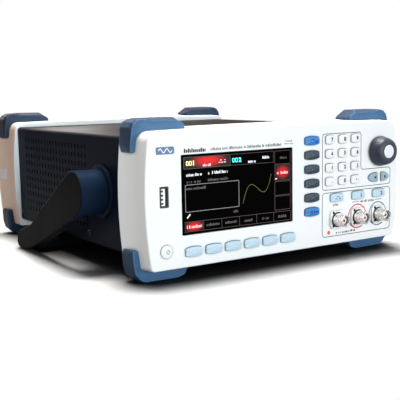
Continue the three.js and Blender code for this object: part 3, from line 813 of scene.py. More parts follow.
def frame_outline(row, grow=0.0):
    depth, half_width, top, bottom, bow, radius = row
    half_width, top, bottom = half_width + grow, top + grow, bottom - grow
    grown = (depth, half_width, top, bottom, bow, radius)

    def quarter(sign, end_z, radius, crown):
        """Right side from mid height to the end, round the corner and towards the middle."""
        points = []
        corner_z = end_z - sign * crown - sign * radius
        for k in range(1, 13):
            z = MID_Z + (corner_z - MID_Z) * k / 12
            points.append((side_x(grown, z), z))
        end_x, start_z = points[-1]
        for k in range(1, 10):
            t = radians(10 * k)
            points.append((end_x - radius + radius * cos(t), start_z + sign * radius * sin(t)))
        for k in range(1, 12):
            x = (end_x - radius) * (1 - k / 12)
            points.append((x, end_z - crown * (x / half_width) ** 2))
        return points
    upper = quarter(1, top, radius, crown=0.7)
    lower = quarter(-1, bottom, max(1.5, radius - 4.5), crown=0)
    waist = side_x(grown, MID_Z)
    points = [(waist, MID_Z)] + upper + [(0, top)] + [(-x, z) for x, z in reversed(upper)]
    points += [(-waist, MID_Z)] + [(-x, z) for x, z in lower] + [(0, bottom)]
    return points + list(reversed(lower))


def smooth_rows(rows):
    """Samples between the given rows (Catmull-Rom on each value), ends kept."""
    out = []
    for i in range(len(rows) - 1):
        before, start = rows[max(0, i - 1)], rows[i]
        end, after = rows[i + 1], rows[min(len(rows) - 1, i + 2)]
        length = end[0] - start[0]
        steps = 4 if length > 3 else 2
        for k in range(steps):
            t = k / steps
            row = [start[0] + length * t]
            for c in range(1, 6):
                rise = end[c] - start[c]
                slope_in = slope_out = rise
                if length >= 1.8 and i > 0:
                    slope_in = (end[c] - before[c]) / (end[0] - before[0]) * length
                if length >= 1.8 and i < len(rows) - 2:
                    slope_out = (after[c] - start[c]) / (after[0] - start[0]) * length
                row.append((2 * t ** 3 - 3 * t ** 2 + 1) * start[c]
                           + (t ** 3 - 2 * t ** 2 + t) * slope_in
                           + (-2 * t ** 3 + 3 * t ** 2) * end[c] + (t ** 3 - t ** 2) * slope_out)
            out.append(tuple(row))
    out.append(rows[-1])
    return out


def round_nose(rows):
    """Replaces the chamfer at the very front by a rounded nose."""
    _, half_width, top, bottom, bow, radius = row_at(rows, NOSE_DEPTH)
    out = []
    for k in range(6):
        t = pi / 2 * k / 6
        inset = 1.15 * (1 - sin(t))
        out.append((1.5 * (1 - cos(t)), half_width - inset, top - inset * 0.95,
                    bottom + inset * 0.95, bow, radius - inset))
    return out + [row for row in rows if row[0] >= NOSE_DEPTH]


FRONT_SKIN = round_nose(smooth_rows(FRONT_ROWS))
REAR_SKIN = smooth_rows(REAR_ROWS)
SLEEVE_POCKET = rounded_rect(0, 58.75, 2 * 114.4, 86.5, 2.8, 4)


def frame_rings(rows, start):
    return [at_depth(frame_outline(row), start + row[0]) for row in rows]


# ------------------------------------------------------------------ key layout
KEY_MARGIN = 1.8                # a key's CAD box is this much larger than its cap
KEY_EDGE = 0.55                 # edge rounding of the caps
DOME_LEVELS = (0.22, 0.42, 0.62, 0.82, 1.0)     # rings of the face, 1 at its rim
NUMBER_KEYS = "7 8 9 4 5 6 1 2 3 dot 0 sign".split()
KEYS = {}


def dome_surface(x, z, rim, front, dome):
    """Function giving the depth of the domed face at a point."""
    ring = [(a - x, b - z) for a, b in rim]

    def depth_at(at_x, at_z):
        from_x, from_z = at_x - x, at_z - z
        share = 0.0                 # how far out the point lies, 1 on the rim
        for (a_x, a_z), (b_x, b_z) in zip(ring, ring[1:] + ring[:1]):
            edge_x, edge_z = b_x - a_x, b_z - a_z
            area = a_x * edge_z - a_z * edge_x
            if abs(area) > 1e-9:
                share = max(share, (from_x * edge_z - from_z * edge_x) / area)
        share = min(1.0, share)
        fall = DOME_LEVELS[0] ** 2
        if share > DOME_LEVELS[0]:
            for a, b in zip(DOME_LEVELS, DOME_LEVELS[1:]):
                if share <= b:
                    fall = a * a + (b * b - a * a) * (share - a) / (b - a)
                    break
        return front + dome * fall
    return depth_at


def add_key(node, shape, mat, slot, dome):
    """Records a key; shape(x, z, width, height, grow) gives its outline."""
    x0, front, z0, x1, _, z1 = node_box(node)
    width, height = x1 - x0 - KEY_MARGIN, z1 - z0 - KEY_MARGIN
    x, z = node_centre(node)

    def outline(grow):
        return shape(x, z, width, height, grow)
    KEYS[node] = SimpleNamespace(
        x=x, z=z, width=width, height=height, front=front, mat=mat, slot=slot, dome=dome,
        outline=outline, surface=dome_surface(x, z, outline(-KEY_EDGE), front, dome))


for i in range(1, 7):
    add_key(f"soft_key_{i}", partial(barrel, bow=0.95, radius=1.5), "key_pale_blue_satin",
            "key_pale_blue", dome=0.35)
    tone = "key_bright_blue" if i in (1, 6) else "key_slate"
    add_key(f"function_key_{i}", partial(barrel, bow=1.05, radius=1.2), tone + "_satin", tone,
            dome=0.4)
for label in NUMBER_KEYS:
    add_key(f"number_key_{label}", partial(barrel, bow=0.75, radius=1.2), "key_white_satin",
            "key_white", dome=0.35)
for node in ("trigger_key", "channel_1_key", "channel_2_key"):
    add_key(node, partial(barrel, bow=0.75, radius=1.3), "key_pale_blue_satin",
            "key_pale_blue", dome=0.35)
for side, name in SIDES:
    add_key("arrow_key_" + name, partial(half_lens, side=side), "key_grey_blue_satin",
            "key_pale_blue", dome=0.3)
add_key("power_button", lambda x, z, width, height, grow: circle(x, z, width / 2 + grow, 48),
        "key_white_satin", "key_white", dome=0.25)

# ------------------------------------------------------------------ front frame
BNC_NODES = ("bnc_sync", "bnc_channel_1", "bnc_channel_2")
WINDOW_RIM = 2.0                # the CAD lens has a rear rim this wide
KEY_GAP, POWER_GAP = 0.22, 0.13     # clearance between a cap and its opening

x0, _, z0, x1, _, z1 = node_box("display_window")
WINDOW_W, WINDOW_H = x1 - x0 - 2 * WINDOW_RIM, z1 - z0 - 2 * WINDOW_RIM
WINDOW_X, WINDOW_Z = node_centre("display_window")
x0, USB_FRONT, z0, x1, _, z1 = node_box("usb_port")
USB_W, USB_H = x1 - x0, z1 - z0
USB_X, USB_Z = node_centre("usb_port")
KNOB_CENTRE = node_centre("knob")


def hole(outline, lip=0.28):
    """Cutter for an opening with a small rounded lip at the front face."""
    rings = [at_depth(outline(lip), -1.0)]
    for k in range(5):
        t = pi / 2 * k / 4
        rings.append(at_depth(outline(lip * (1 - sin(t))), lip * (1 - cos(t))))
    rings.append(at_depth(outline(0), 4.0))
    return loft(rings)


def front_frame():
    frame = loft(frame_rings(FRONT_SKIN, 0))
    cutters = [
        prism(rounded_rect(0, 58.2, 225, 86.4, 8, 8), 3.0, 23),
        prism(SLEEVE_POCKET, 22, 31),
        hole(growing_rect(WINDOW_X, WINDOW_Z, WINDOW_W, WINDOW_H, 0.9, 5), lip=0.35),
        hole(growing_rect(USB_X, USB_Z, USB_W + 0.5, USB_H + 0.5, 0.7, 4), lip=0.2),
        hole(growing_circle(*KNOB_CENTRE, 3.7))]
    cutters += [hole(growing_circle(*node_centre(node), 5.6)) for node in BNC_NODES]
    for node, key in KEYS.items():
        gap = POWER_GAP if node == "power_button" else KEY_GAP
        cutters.append(hole(lambda grow: key.outline(grow + gap), lip=0.22))
    boolean(frame, merge(cutters))
    place("front_frame", frame, "frame_white_moulded", replaces=("front_bezel",),
          slot="frame_white", angle=28)


front_frame()


# ------------------------------------------------------------------ key caps
STEM_HALF, STEM_BACK = 1.6, 9.55
FLANGE, FLANGE_FRONT, FLANGE_BACK = 0.75, 3.45, 4.2


def key_cap(node, key):
    """Stem, flange behind the panel, cap with a rounded edge and a dished face."""
    full = key.outline(0)
    stem = scaled(full, key.x, key.z, STEM_HALF / (key.width / 2), STEM_HALF / (key.height / 2))
    rim_depth = key.front + key.dome
    rings = [at_depth(stem, STEM_BACK), at_depth(stem, FLANGE_BACK),
             at_depth(key.outline(FLANGE), FLANGE_BACK),
             at_depth(key.outline(FLANGE), FLANGE_FRONT),
             at_depth(full, FLANGE_FRONT), at_depth(full, rim_depth + KEY_EDGE)]
    for k in range(1, 6):
        t = pi / 2 * k / 5
        rings.append(at_depth(key.outline(-KEY_EDGE * (1 - cos(t))),
                              rim_depth + KEY_EDGE * (1 - sin(t))))
    rim = key.outline(-KEY_EDGE)
    for level in DOME_LEVELS[-2::-1]:
        rings.append(at_depth(scaled(rim, key.x, key.z, level, level),
                              key.front + key.dome * level * level))
    place(node + "_cap", loft(rings), key.mat, body=node, replaces=(node,), slot=key.slot,
          angle=40)


for node, key in KEYS.items():
    key_cap(node, key)


# ------------------------------------------------------------------ key legends
LEGEND_X = 1.3                  # number legends sit right of the key centre


def key_line(key, path, width, origin=(0, 0), lift=0.05):
    """Printed line on a key; the path starts from the key centre moved by origin."""
    x0, z0 = key.x + origin[0], key.z + origin[1]
    return stroke([(x0 + x, z0 + z) for x, z in path], width, -lift, 0.05, closed=False,
                  surface=key.surface)


def key_glyph(key, text, x, z):
    return glyph(text, 4.0, key.x + x, key.z + z, lambda a, b: key.surface(a, b) - 0.03)


def sign_legend(key):
    """Plus and minus; the upright is a hair prouder than the bars."""
    return merge([key_line(key, path, 0.32, (LEGEND_X, 0), lift) for path, lift in (
        ([(-1.7, 0.1), (-0.3, 0.1)], 0.05),
        ([(-1.0, -0.6), (-1.0, 0.8)], 0.055),
        ([(0.5, -0.25), (1.8, -0.25)], 0.05))])


def four_legend(key):
    """Three short bars, a closed solid each, at slightly different heights."""
    legs = (((-1.2, -0.55), (1.05, -0.55)), ((-1.05, -0.6), (0.32, 1.45)),
            ((0.42, 1.5), (0.42, -1.45)))
    bars = []
    for i, ((x0, z0), (x1, z1)) in enumerate(legs):
        path = [(x0 + (x1 - x0) * k / 6, z0 + (z1 - z0) * k / 6) for k in range(7)]
        bars.append(key_line(key, path, 0.5, (LEGEND_X, 0.1), 0.05 + 0.004 * i))
    return merge(bars)


def number_legend(key, label):
    if label == "sign":
        return sign_legend(key)
    if label == "dot":
        return patch(circle(key.x + LEGEND_X, key.z - 0.5, 0.38, 20), key.surface)
    if label == "4":
        return four_legend(key)
    return key_glyph(key, label, LEGEND_X, 0.1)


for label in NUMBER_KEYS:
    node = f"number_key_{label}"
    place_print(node + "_mark", number_legend(KEYS[node], label), "ink_dark", body=node)


def line_legend(node, suffix, path, width, mat, origin=(0, 0)):
    place_print(node + suffix, key_line(KEYS[node], path, width, origin), mat, body=node)


def function_bars():
    """Three plain bars on the last function key."""
    node = "function_key_6"
    key = KEYS[node]
    height = 1.7
    bars = [patch(rounded_rect(key.x + (x0 + x1) / 2, key.z, x1 - x0, height, height * 0.3, 3),
                  key.surface) for x0, x1 in ((-2.2, 0.2), (0.8, 2.6), (3.2, 5.0))]
    place_print(node + "_mark", merge(bars), "ink_navy", body=node)


def arrow_legend(node, side, shift):
    key = KEYS[node]
    x, z = key.x + shift, key.z
    triangle = [(x + side * 1.45, z), (x - side * 1.05, z + 1.4), (x - side * 1.05, z - 1.4)]
    place_print(node + "_mark", patch(triangle, key.surface, lift=0.13), "ink_dark", body=node)


WAVE = [(-3.2 + 6.4 * k / 18, 1.3 * sin(2 * pi * k / 18)) for k in range(19)]
line_legend("function_key_1", "_mark", WAVE, 0.75, "ink_navy", origin=(1.6, -0.1))
function_bars()
line_legend("trigger_key", "_mark", [(-2.6, -0.9), (-0.9, -0.9), (-0.9, 0.9), (1.5, 0.9),
                                     (1.5, -0.9), (3.4, -0.9)], 0.42, "ink_soft")
for text in "12":
    node = f"channel_{text}_key"
    place_print(node + "_mark", key_glyph(KEYS[node], text, 2.4, 0.0), "ink_soft", body=node)
arrow_legend("arrow_key_left", -1, 1.6)
arrow_legend("arrow_key_right", 1, -0.6)

# power mark: open ring with a stem
OPEN_RING = [(1.25 * sin(radians(35 + 290 * k / 24)), 1.25 * cos(radians(35 + 290 * k / 24)))
             for k in range(25)]
line_legend("power_button", "_ring_mark", OPEN_RING, 0.34, "ink_grey", origin=(0.7, -0.2))
line_legend("power_button", "_stem_mark", [(0, 0.35), (0, 1.75)], 0.34, "ink_grey",
            origin=(0.7, -0.2))
place("power_button_trim",
      turned([(5.12, -0.14), (5.75, -0.14, 0.12), (5.95, 0.03), (5.05, 0.03)],
             node_centre("power_button"), 64, steps=3),
      "key_white_satin", slot="key_white", angle=50)

# ------------------------------------------------------------------ printed panel graphics
FIELD_LEFT, FIELD_RIGHT = 37.5, 111.1       # the two outlined fields on the right


def print_bars(name, dashes):
    place_print(name, merge(dash_prisms(dashes)), "ink_dark")


def field_lines():
    """Outlines round the keypad and round the output sockets."""
    keypad = [(FIELD_LEFT, 54.0), (FIELD_RIGHT, 54.0), (FIELD_RIGHT, 67.7), (78.2, 67.7),
              (78.2, 97.7), (FIELD_LEFT, 97.7)]
    place_print("panel_line_keypad", stroke(rounded_path(keypad, 2.6), 0.55), "ink_grey")
    outputs = box_path(FIELD_LEFT, 16.9, FIELD_RIGHT, 51.6, 2.6)
    place_print("panel_line_outputs", stroke(outputs, 0.55), "ink_grey")


def channel_rings():
    for channel, width, mat in ((1, 0.95, "ink_red"), (2, 0.85, "ink_blue")):
        x, z = node_centre(f"bnc_channel_{channel}")
        ring = stroke(circle(x - 0.1, z + 0.5, 9.5, 72), width)
        place_print(f"panel_ring_channel_{channel}", ring, mat)


def badge():
    """Plain badge with a sine line at the top left."""
    x, z = -102.9, 93.0
    plate = pill(growing_rect(x, z, 14.2, 5.0, 1.0, 5), -0.35, 0.05, 0.15, 0.0)
    place("panel_badge", plate, "badge_blue", angle=30)
    wave = [(x - 5.3 + 10.6 * k / 30, z + 1.35 * sin(4 * pi * k / 30)) for k in range(31)]
    place_print("panel_badge_wave", stroke(wave, 0.62, -0.42, -0.3, closed=False), "ink_white")


field_lines()
channel_rings()
# scribble rows: x0, x1, z, height, seed, and for the bold heading a pitch
print_bars("panel_rule_channels", [(69.0, 76.6, 42.0, 0.42), (94.2, 101.8, 42.0, 0.42)])
print_bars("panel_bars_channels",
           scribbles((78.2, 84.9, 42.0, 1.9, 5), (86.4, 93.0, 42.0, 1.9, 11)))
print_bars("panel_bars_sync", scribble(48.5, 54.0, 41.8, 2.0, 3))
print_bars("panel_bars_low", widened(
    scribbles((51.9, 66.0, 19.3, 2.0, 7), (67.2, 72.2, 19.4, 1.8, 21)), 0.15))
place_print("panel_dot", prism(circle(44.2, 20.1, 1.55, 40), -0.05, 0.04), "ink_orange")
badge()
print_bars("panel_bars_head_bold", widened(scribble(-88.0, -70.4, 92.0, 3.0, 9, 1.75), 0.28))
place_print("panel_bars_head", merge(dash_prisms(scribbles(
    (-65.8, -38.6, 92.1, 2.2, 2), (-37.2, -22.0, 92.1, 2.2, 13),
    (-20.6, -2.6, 92.1, 2.2, 29)))), "ink_soft")
print_bars("panel_bars_corner",
           scribbles((0.8, 7.4, 94.3, 1.1, 4), (0.0, 8.4, 92.4, 1.1, 17)))

# ------------------------------------------------------------------ display
LENS_BACK = 4.0
SCREEN_FRONT, SCREEN_BACK = 0.44, 0.52      # thickness range of the lit marks on the lens


def display_lens():
    lens = pill(growing_rect(WINDOW_X, WINDOW_Z, WINDOW_W - 0.5, WINDOW_H - 0.5, 0.8, 5),
                0.5, LENS_BACK, 0.15, 0.0)
    rim = rounded_rect(WINDOW_X, WINDOW_Z, WINDOW_W + 2 * WINDOW_RIM,
                       WINDOW_H + 2 * WINDOW_RIM, 1.2, 5)
    boolean(lens, prism(rim, 3.3, LENS_BACK), "UNION")
    place("display_lens", lens, "lens_black_gloss", replaces=("display_window",),
          slot="lens_black", angle=30)


def screen_line(path, width, closed=False):
    return stroke(path, width, SCREEN_FRONT, SCREEN_BACK, closed)


def screen_box(x0, z0, x1, z1, width):
    return screen_line(box_path(x0, z0, x1, z1, 0.5, 3), width, closed=True)


def screen_text(*rows):
    return dash_prisms(scribbles(*rows), 0.25, 2, SCREEN_FRONT, SCREEN_BACK)


def screen_bars(*dashes):
    return dash_prisms(dashes, 0.3, 3, SCREEN_FRONT, SCREEN_BACK)


def show(name, parts, mat):
    place_print("screen_" + name, merge(parts), mat)


display_lens()
# name, colour, emission strength
for name, colour, power in (
        ("ui_line_grey", (0.36, 0.29, 0.29), 0.35), ("ui_line_bright", (0.55, 0.53, 0.53), 0.5),
        ("ui_white", (0.86, 0.86, 0.88), 0.8), ("ui_dim", (0.34, 0.33, 0.34), 0.35),
        ("ui_yellow", (0.98, 0.93, 0.62), 1.15), ("ui_cyan", (0.30, 0.95, 0.92), 1.0),
        ("ui_olive", (0.42, 0.41, 0.22), 0.34), ("ui_pink", (1.0, 0.72, 0.74), 1.0)):
    material(name, colour, rough=0.35, vary=0.08, vary_scale=500, bump=0.0, emit=power, spec=0.2)

# boxes: x0, z0, x1, z1, line width
show("frames",
     [screen_box(-88.0, 79.3, -49.0, 87.3, 0.3),
      screen_line([(-48.6, 87.2), (-10.0, 87.4), (-10.0, 79.1), (-48.8, 79.5)], 0.22),
      screen_box(-8.7, 77.5, 6.1, 87.3, 0.24), screen_box(-8.7, 65.2, 6.1, 76.7, 0.24),
      screen_box(-8.8, 54.2, 6.1, 64.4, 0.24), screen_box(-8.8, 43.1, 6.0, 53.4, 0.24),
      screen_line([(-88.3, 42.2), (6.0, 41.6)], 0.24),
      screen_line([(-88.6, 35.3), (6.2, 34.6), (6.1, 41.4)], 0.24)]
     + [screen_line([(x, 42.0), (x, 35.2)], 0.24) for x in (-72.4, -56.9, -41.4, -25.8, -10.0)],
     "ui_line_grey")
show("box", [screen_box(-87.1, 49.2, -41.6, 68.1, 0.34)], "ui_line_bright")

# name, patch (x0, z0, x1, z1), glow (x, z, radius in x, radius in z)
for name, (x0, z0, x1, z1), glow in (
        ("header", (-87.6, 79.6, -49.3, 87.0), (-67.5, 84.4, 17.0, 6.2)),
        ("side", (-8.4, 65.6, 5.8, 76.3), (-1.4, 71.4, 7.6, 6.2)),
        ("foot", (-88.2, 35.6, -72.7, 41.8), (-80.3, 38.8, 8.3, 5.2))):
    glow_material("ui_glow_" + name, (0.93, 0.02, 0.03), *glow)
    area = rounded_rect((x0 + x1) / 2, (z0 + z1) / 2, x1 - x0, z1 - z0, 0.4, 3)
    show("glow_" + name, [prism(area, 0.47, 0.55)], "ui_glow_" + name)

# channel tags: two small boxes and a numeral (numeral x, z, box z range, box x ranges)
for text, x, z, (z0, z1), spans, mat in (
        ("1", -80.0, 83.1, (81.7, 84.4), ((-85.8, -84.3), (-83.3, -81.7)), "ui_yellow"),
        ("2", -40.3, 83.0, (81.6, 84.3), ((-46.9, -45.3), (-44.2, -42.5)), "ui_cyan")):
    numeral = glyph(text, 4.3, x, z, lambda a, b: 0.46, thick=0.06)
    show("tag_" + text, [numeral] + [screen_box(x0, z0, x1, z1, 0.5) for x0, x1 in spans], mat)

# screen text rows: x0, x1, z, height, seed
show("text_bright", screen_text(
    (-86.0, -80.0, 75.0, 2.1, 3), (-79.0, -73.2, 75.1, 2.1, 8), (-67.8, -65.9, 75.3, 2.2, 1),
    (-64.6, -50.6, 75.5, 2.1, 14), (-33.0, -26.2, 81.2, 2.1, 6),
    (-20.0, -14.0, 83.4, 2.1, 9)), "ui_white")
show("text_pink", screen_text((-72.2, -65.4, 81.1, 1.9, 5))
     + screen_bars((-59.0, -57.4, 82.2, 0.5), (-56.8, -55.2, 82.2, 0.5),
                   (-54.6, -52.6, 82.2, 0.5), (-57.6, -56.2, 83.8, 0.5),
                   (-54.0, -53.0, 83.8, 0.5))
     + screen_text((-6.6, 3.6, 71.0, 2.2, 12), (-86.2, -74.0, 38.6, 2.2, 4)), "ui_pink")
show("text_dim", screen_text(
    (-85.8, -74.4, 70.2, 1.9, 7), (-68.2, -50.4, 70.5, 1.9, 19), (-86.3, -70.0, 65.5, 1.9, 23),
    (-46.6, -42.6, 46.0, 1.9, 2), (-3.8, 2.4, 82.2, 2.0, 31), (-70.0, -58.6, 38.6, 2.0, 16),
    (-53.9, -43.8, 38.6, 2.0, 27), (-36.8, -29.8, 38.2, 2.0, 33), (-20.7, -14.7, 38.1, 2.0, 41),
    (-5.7, 2.1, 38.0, 2.0, 45)), "ui_dim")

# displayed wave (x, z)
CURVE = [
    (-38.0, 50.9), (-37.0, 54.6), (-35.8, 58.0), (-33.8, 62.0), (-31.8, 63.9), (-29.9, 64.2),
    (-27.9, 63.5), (-25.6, 61.8), (-22.8, 59.4), (-20.6, 58.1), (-18.9, 57.9), (-17.3, 58.7),
    (-15.9, 60.3), (-14.7, 62.6), (-13.6, 65.3), (-12.8, 68.0), (-12.2, 70.7)]
show("curve", [screen_line(spline(CURVE), 0.30)], "ui_olive")
show("marks", [screen_line([(-86.0, 44.9), (-83.4, 47.5)], 0.85),
               screen_line([(-8.4, 66.6), (-6.6, 66.6)], 0.7)], "ui_white")

# ------------------------------------------------------------------ knob
KNOB_FRONT = node_box("knob")[1]
# (radius, depth, corner radius) from the face to the back of the shaft bore
KNOB_PROFILE = [
    (0, KNOB_FRONT + 0.75), (5.55, KNOB_FRONT + 0.75, 0.1), (5.75, KNOB_FRONT + 0.45, 0.1),
    (5.95, KNOB_FRONT, 0.15), (8.1, KNOB_FRONT, 1.6), (9.9, KNOB_FRONT + 1.2, 1.4),
    (10.9, KNOB_FRONT + 3.6, 1.5), (11.8, KNOB_FRONT + 8.0, 2.0), (12.1, -1.9, 0.6),
    (12.0, -0.75, 0.25), (11.0, -0.75, 0.2), (10.6, -2.8, 0.3), (4.2, -2.8, 0.2),
    (4.0, -1.8, 0.1), (2.62, -1.8), (2.62, -8.9), (0, -8.9)]


def knob_flute(radius, station, angle):
    """Forty shallow flutes on the outer wall, fading out at both ends."""
    if radius < 9.9 or station > -1.6 or station < KNOB_FRONT + 2.2:
        return radius
    fade = min(1.0, (station - KNOB_FRONT - 2.2) / 1.4, (-1.6 - station) / 0.8)
    return radius - 0.11 * fade * (0.5 - 0.5 * cos(angle * 40)) ** 2


def knob():
    profile = fillet(KNOB_PROFILE, 6)
    stations = []
    for a, b in zip(profile, profile[1:]):
        stations.append(a)
        # extra stations along the wall carry the flutes
        steps = int(hypot(a[0] - b[0], a[1] - b[1]) / 0.8) if a[0] > 9.5 and b[0] > 9.5 else 0
        for k in range(1, steps):
            t = k / steps
            stations.append((a[0] + (b[0] - a[0]) * t, a[1] + (b[1] - a[1]) * t))
    stations.append(profile[-1])
    place("knob_body", lathe(stations, KNOB_CENTRE, 240, flute=knob_flute), "knob_soft_touch",
          body="knob", replaces=("knob",), slot="knob_charcoal", angle=38)
    disc = [(0, KNOB_FRONT + 0.12), (4.9, KNOB_FRONT + 0.16, 0.4),
            (5.35, KNOB_FRONT + 0.42, 0.15), (5.4, KNOB_FRONT + 0.74), (0, KNOB_FRONT + 0.74)]
    place("knob_face_disc", turned(disc, KNOB_CENTRE, 72), "knob_disc_silver", body="knob",
          slot="knob_charcoal", angle=40)


knob()


# ------------------------------------------------------------------ BNC sockets
# Profiles are (radius, depth, corner radius); mouth is the depth of the socket's front end.
def bnc_shell(centre, mouth):
    return turned([
        (3.72, mouth, 0.12), (4.55, mouth, 0.2), (4.8, mouth + 0.35, 0.1),
        (4.8, mouth + 1.6, 0.1), (4.62, mouth + 1.75, 0.05), (4.62, mouth + 2.3, 0.05),
        (4.8, mouth + 2.45, 0.1), (4.8, -5.6, 0.1), (5.15, -5.4, 0.1), (5.15, -4.4, 0.1),
        (4.9, -4.2, 0.1), (4.9, -3.5, 0.3), (5.45, -3.1, 0.3), (5.45, -2.0, 0.1),
        (5.0, -1.95), (5.2, 12.0, 0.3), (2.2, 12.0), (2.2, -2.4), (3.72, -2.6)],
        centre, 72, steps=3)


def bnc_lug(x, z, mouth, side):
    """Bayonet lug standing out sideways."""
    tip, root = x + side * 5.9, x + side * 4.4
    return turned([(0, tip), (0.8, x + side * 5.85, 0.2), (0.98, x + side * 5.6, 0.2),
                   (0.98, root), (0, root)], (mouth + 4.4, z), 24, steps=3, axis="x")


def bnc_contact(x, z, mouth):
    """Centre contact with crossed slots in its mouth."""
    contact = turned([
        (0, mouth + 3.2), (0.42, mouth + 3.2, 0.05), (0.5, mouth + 1.7, 0.05),
        (0.95, mouth + 1.6, 0.15), (1.0, mouth + 2.6, 0.1), (1.0, -2.6), (0, -2.6)],
        (x, z), 32, steps=3)
    boolean(contact, cross(x, z, 2.4, 0.22, 0.02, (mouth + 1.0, mouth + 4.0),
                           (mouth + 1.0, mouth + 4.01)))
    return contact


def flange_screw(x, z):
    head = turned([(0, -2.0), (0.8, -1.93, 0.4), (1.15, -1.35, 0.1), (1.15, -1.2), (0, -1.2)],
                  (x, z), 24)
    boolean(head, cross(x, z, 1.4, 0.32, 0.05, (-2.3, -1.72)))
    return head


def bnc_socket(node):
    x, z = centre = node_centre(node)
    mouth = node_box(node)[1]
    shell = bnc_shell(centre, mouth)
    flange = pill(growing_rect(x, z, 14.2, 14.2, 3.0, 6), -1.35, -0.25, 0.3, 0.1)
    lugs = [bnc_lug(x, z, mouth, side) for side in (-1, 1)]
    boolean(flange, lathe([(0, -3.5), (5.3, -3.5), (5.3, 1.0), (0, 1.0)], centre, 72))
    # black ring round the barrel foot paints the shadowed gap between barrel and flange
    gap_shade_ring = turned([(5.0, -1.9), (5.9, -1.9, 0.3), (6.15, -1.4, 0.1), (6.15, -1.0), (5.0, -1.0)],
                  centre, 60)
    place(node + "_seal", gap_shade_ring, "socket_black", slot="inlet_black", angle=40)
    metal = dict(slot="connector_nickel", angle=35)
    place(node + "_flange", flange, "nickel_satin", **metal)
    for lug in lugs:
        boolean(shell, lug, "UNION")
    place(node + "_shell", shell, "nickel_plate", replaces=(node,), **metal)
    bore = turned([(3.95, mouth + 0.25), (3.55, mouth + 0.32, 0.08), (3.45, mouth + 0.9, 0.05),
                   (3.45, mouth + 3.9, 0.1), (3.95, mouth + 3.9)], centre, 72)
    place(node + "_bore", bore, "nickel_bore", slot="connector_nickel", angle=40)
    insulator = turned([
        (1.05, mouth + 2.2, 0.1), (2.5, mouth + 2.2, 0.2), (2.5, mouth + 3.7, 0.1),
        (3.5, mouth + 3.7, 0.1), (3.6, mouth + 4.2, 0.1), (3.6, -2.7), (1.05, -2.7)],
        centre, 48, steps=3)
    place(node + "_insulator", insulator, "ptfe_white", slot="connector_nickel", angle=40)
    place(node + "_contact", bnc_contact(x, z, mouth), "brass_gold", **metal)
    screws = [flange_screw(x - 4.2, z + 0.4 + side * 5.3) for side in (-1, 1)]
    place(node + "_screws", merge(screws), "screw_dark", **metal)


for node in BNC_NODES:
    bnc_socket(node)


# ------------------------------------------------------------------ USB socket
def usb_socket():
    well_back = 13.2
    plain = dict(slot="steel_plain", angle=30)
    shell = prism(rounded_rect(USB_X, USB_Z, USB_W, USB_H, 0.6, 4), USB_FRONT - 0.35, 14.5)
    boolean(shell, prism(rounded_rect(USB_X, USB_Z, USB_W - 1.5, USB_H - 1.9, 0.35, 4),
                         -2, well_back))
    place("usb_shell", shell, "socket_black", replaces=("usb_port",), **plain)
    tongue = growing_rect(USB_X - 0.75, USB_Z, 2.9, USB_H - 2.6, 0.2, 3, least_radius=0.2)
    place("usb_tongue", pill(tongue, 0.12, well_back, 0.15, 0.0), "tongue_pale", **plain)
    contacts = [pill(growing_rect(USB_X - 1.55, USB_Z + z, 1.5, 1.35, 0.25, 3,
                                  least_radius=0.25), -0.1, 0.6, 0.1, 0.0)
                for z in (-4.2, -1.4, 1.4, 4.2)]
    place("usb_contacts", merge(contacts), "socket_black", **plain)


usb_socket()

# ------------------------------------------------------------------ sleeve
SLEEVE_X, SLEEVE_BOTTOM, SLEEVE_TOP, SLEEVE_RADIUS = 114.1, 15.8, 101.7, 2.5
VENT_PITCH_Y, VENT_PITCH_Z = 6.35, 6.86
VENT_HALF_WIDTH, VENT_HALF_HEIGHT = 1.05, 2.1
VENT_DEPTHS = [104.0 + VENT_PITCH_Y * k for k in range(21)]
VENT_HEIGHTS = [91.0 - VENT_PITCH_Z * k for k in range(10)]


def sleeve_ring(low, high):
    """Section of the sleeve (x, z), with points between the vent rows on both walls."""
    heights = sorted({round(z - VENT_PITCH_Z / 2, 4) for z in VENT_HEIGHTS}
                     | {round(VENT_HEIGHTS[0] + VENT_PITCH_Z / 2, 4)})
    heights = [low] + [z for z in heights if low < z < high] + [high]
    inner = SLEEVE_X - SLEEVE_RADIUS

    def arc(x, z, start):
        return [(x + SLEEVE_RADIUS * cos(radians(start + 15 * k)),
                 z + SLEEVE_RADIUS * sin(radians(start + 15 * k))) for k in range(1, 6)]
    return ([(SLEEVE_X, z) for z in heights] + arc(inner, high, 0)
            + [(inner, SLEEVE_TOP), (0, SLEEVE_TOP), (-inner, SLEEVE_TOP)]
            + arc(-inner, high, 90) + [(-SLEEVE_X, z) for z in reversed(heights)]
            + arc(-inner, low, 180)
            + [(-inner, SLEEVE_BOTTOM), (0, SLEEVE_BOTTOM), (inner, SLEEVE_BOTTOM)]
            + arc(inner, low, 270))


def is_vent(start, end, depth):
    """Whether the cell between two section points holds a vent slot at this depth."""
    (xa, za), (xb, zb) = start, end
    middle = (za + zb) / 2
    return (abs(xa) == SLEEVE_X and xa == xb
            and abs(abs(za - zb) - VENT_PITCH_Z) < 0.01
            and any(abs(depth - y) < 0.01 for y in VENT_DEPTHS)
            and any(abs(middle - z) < 0.2 for z in VENT_HEIGHTS))


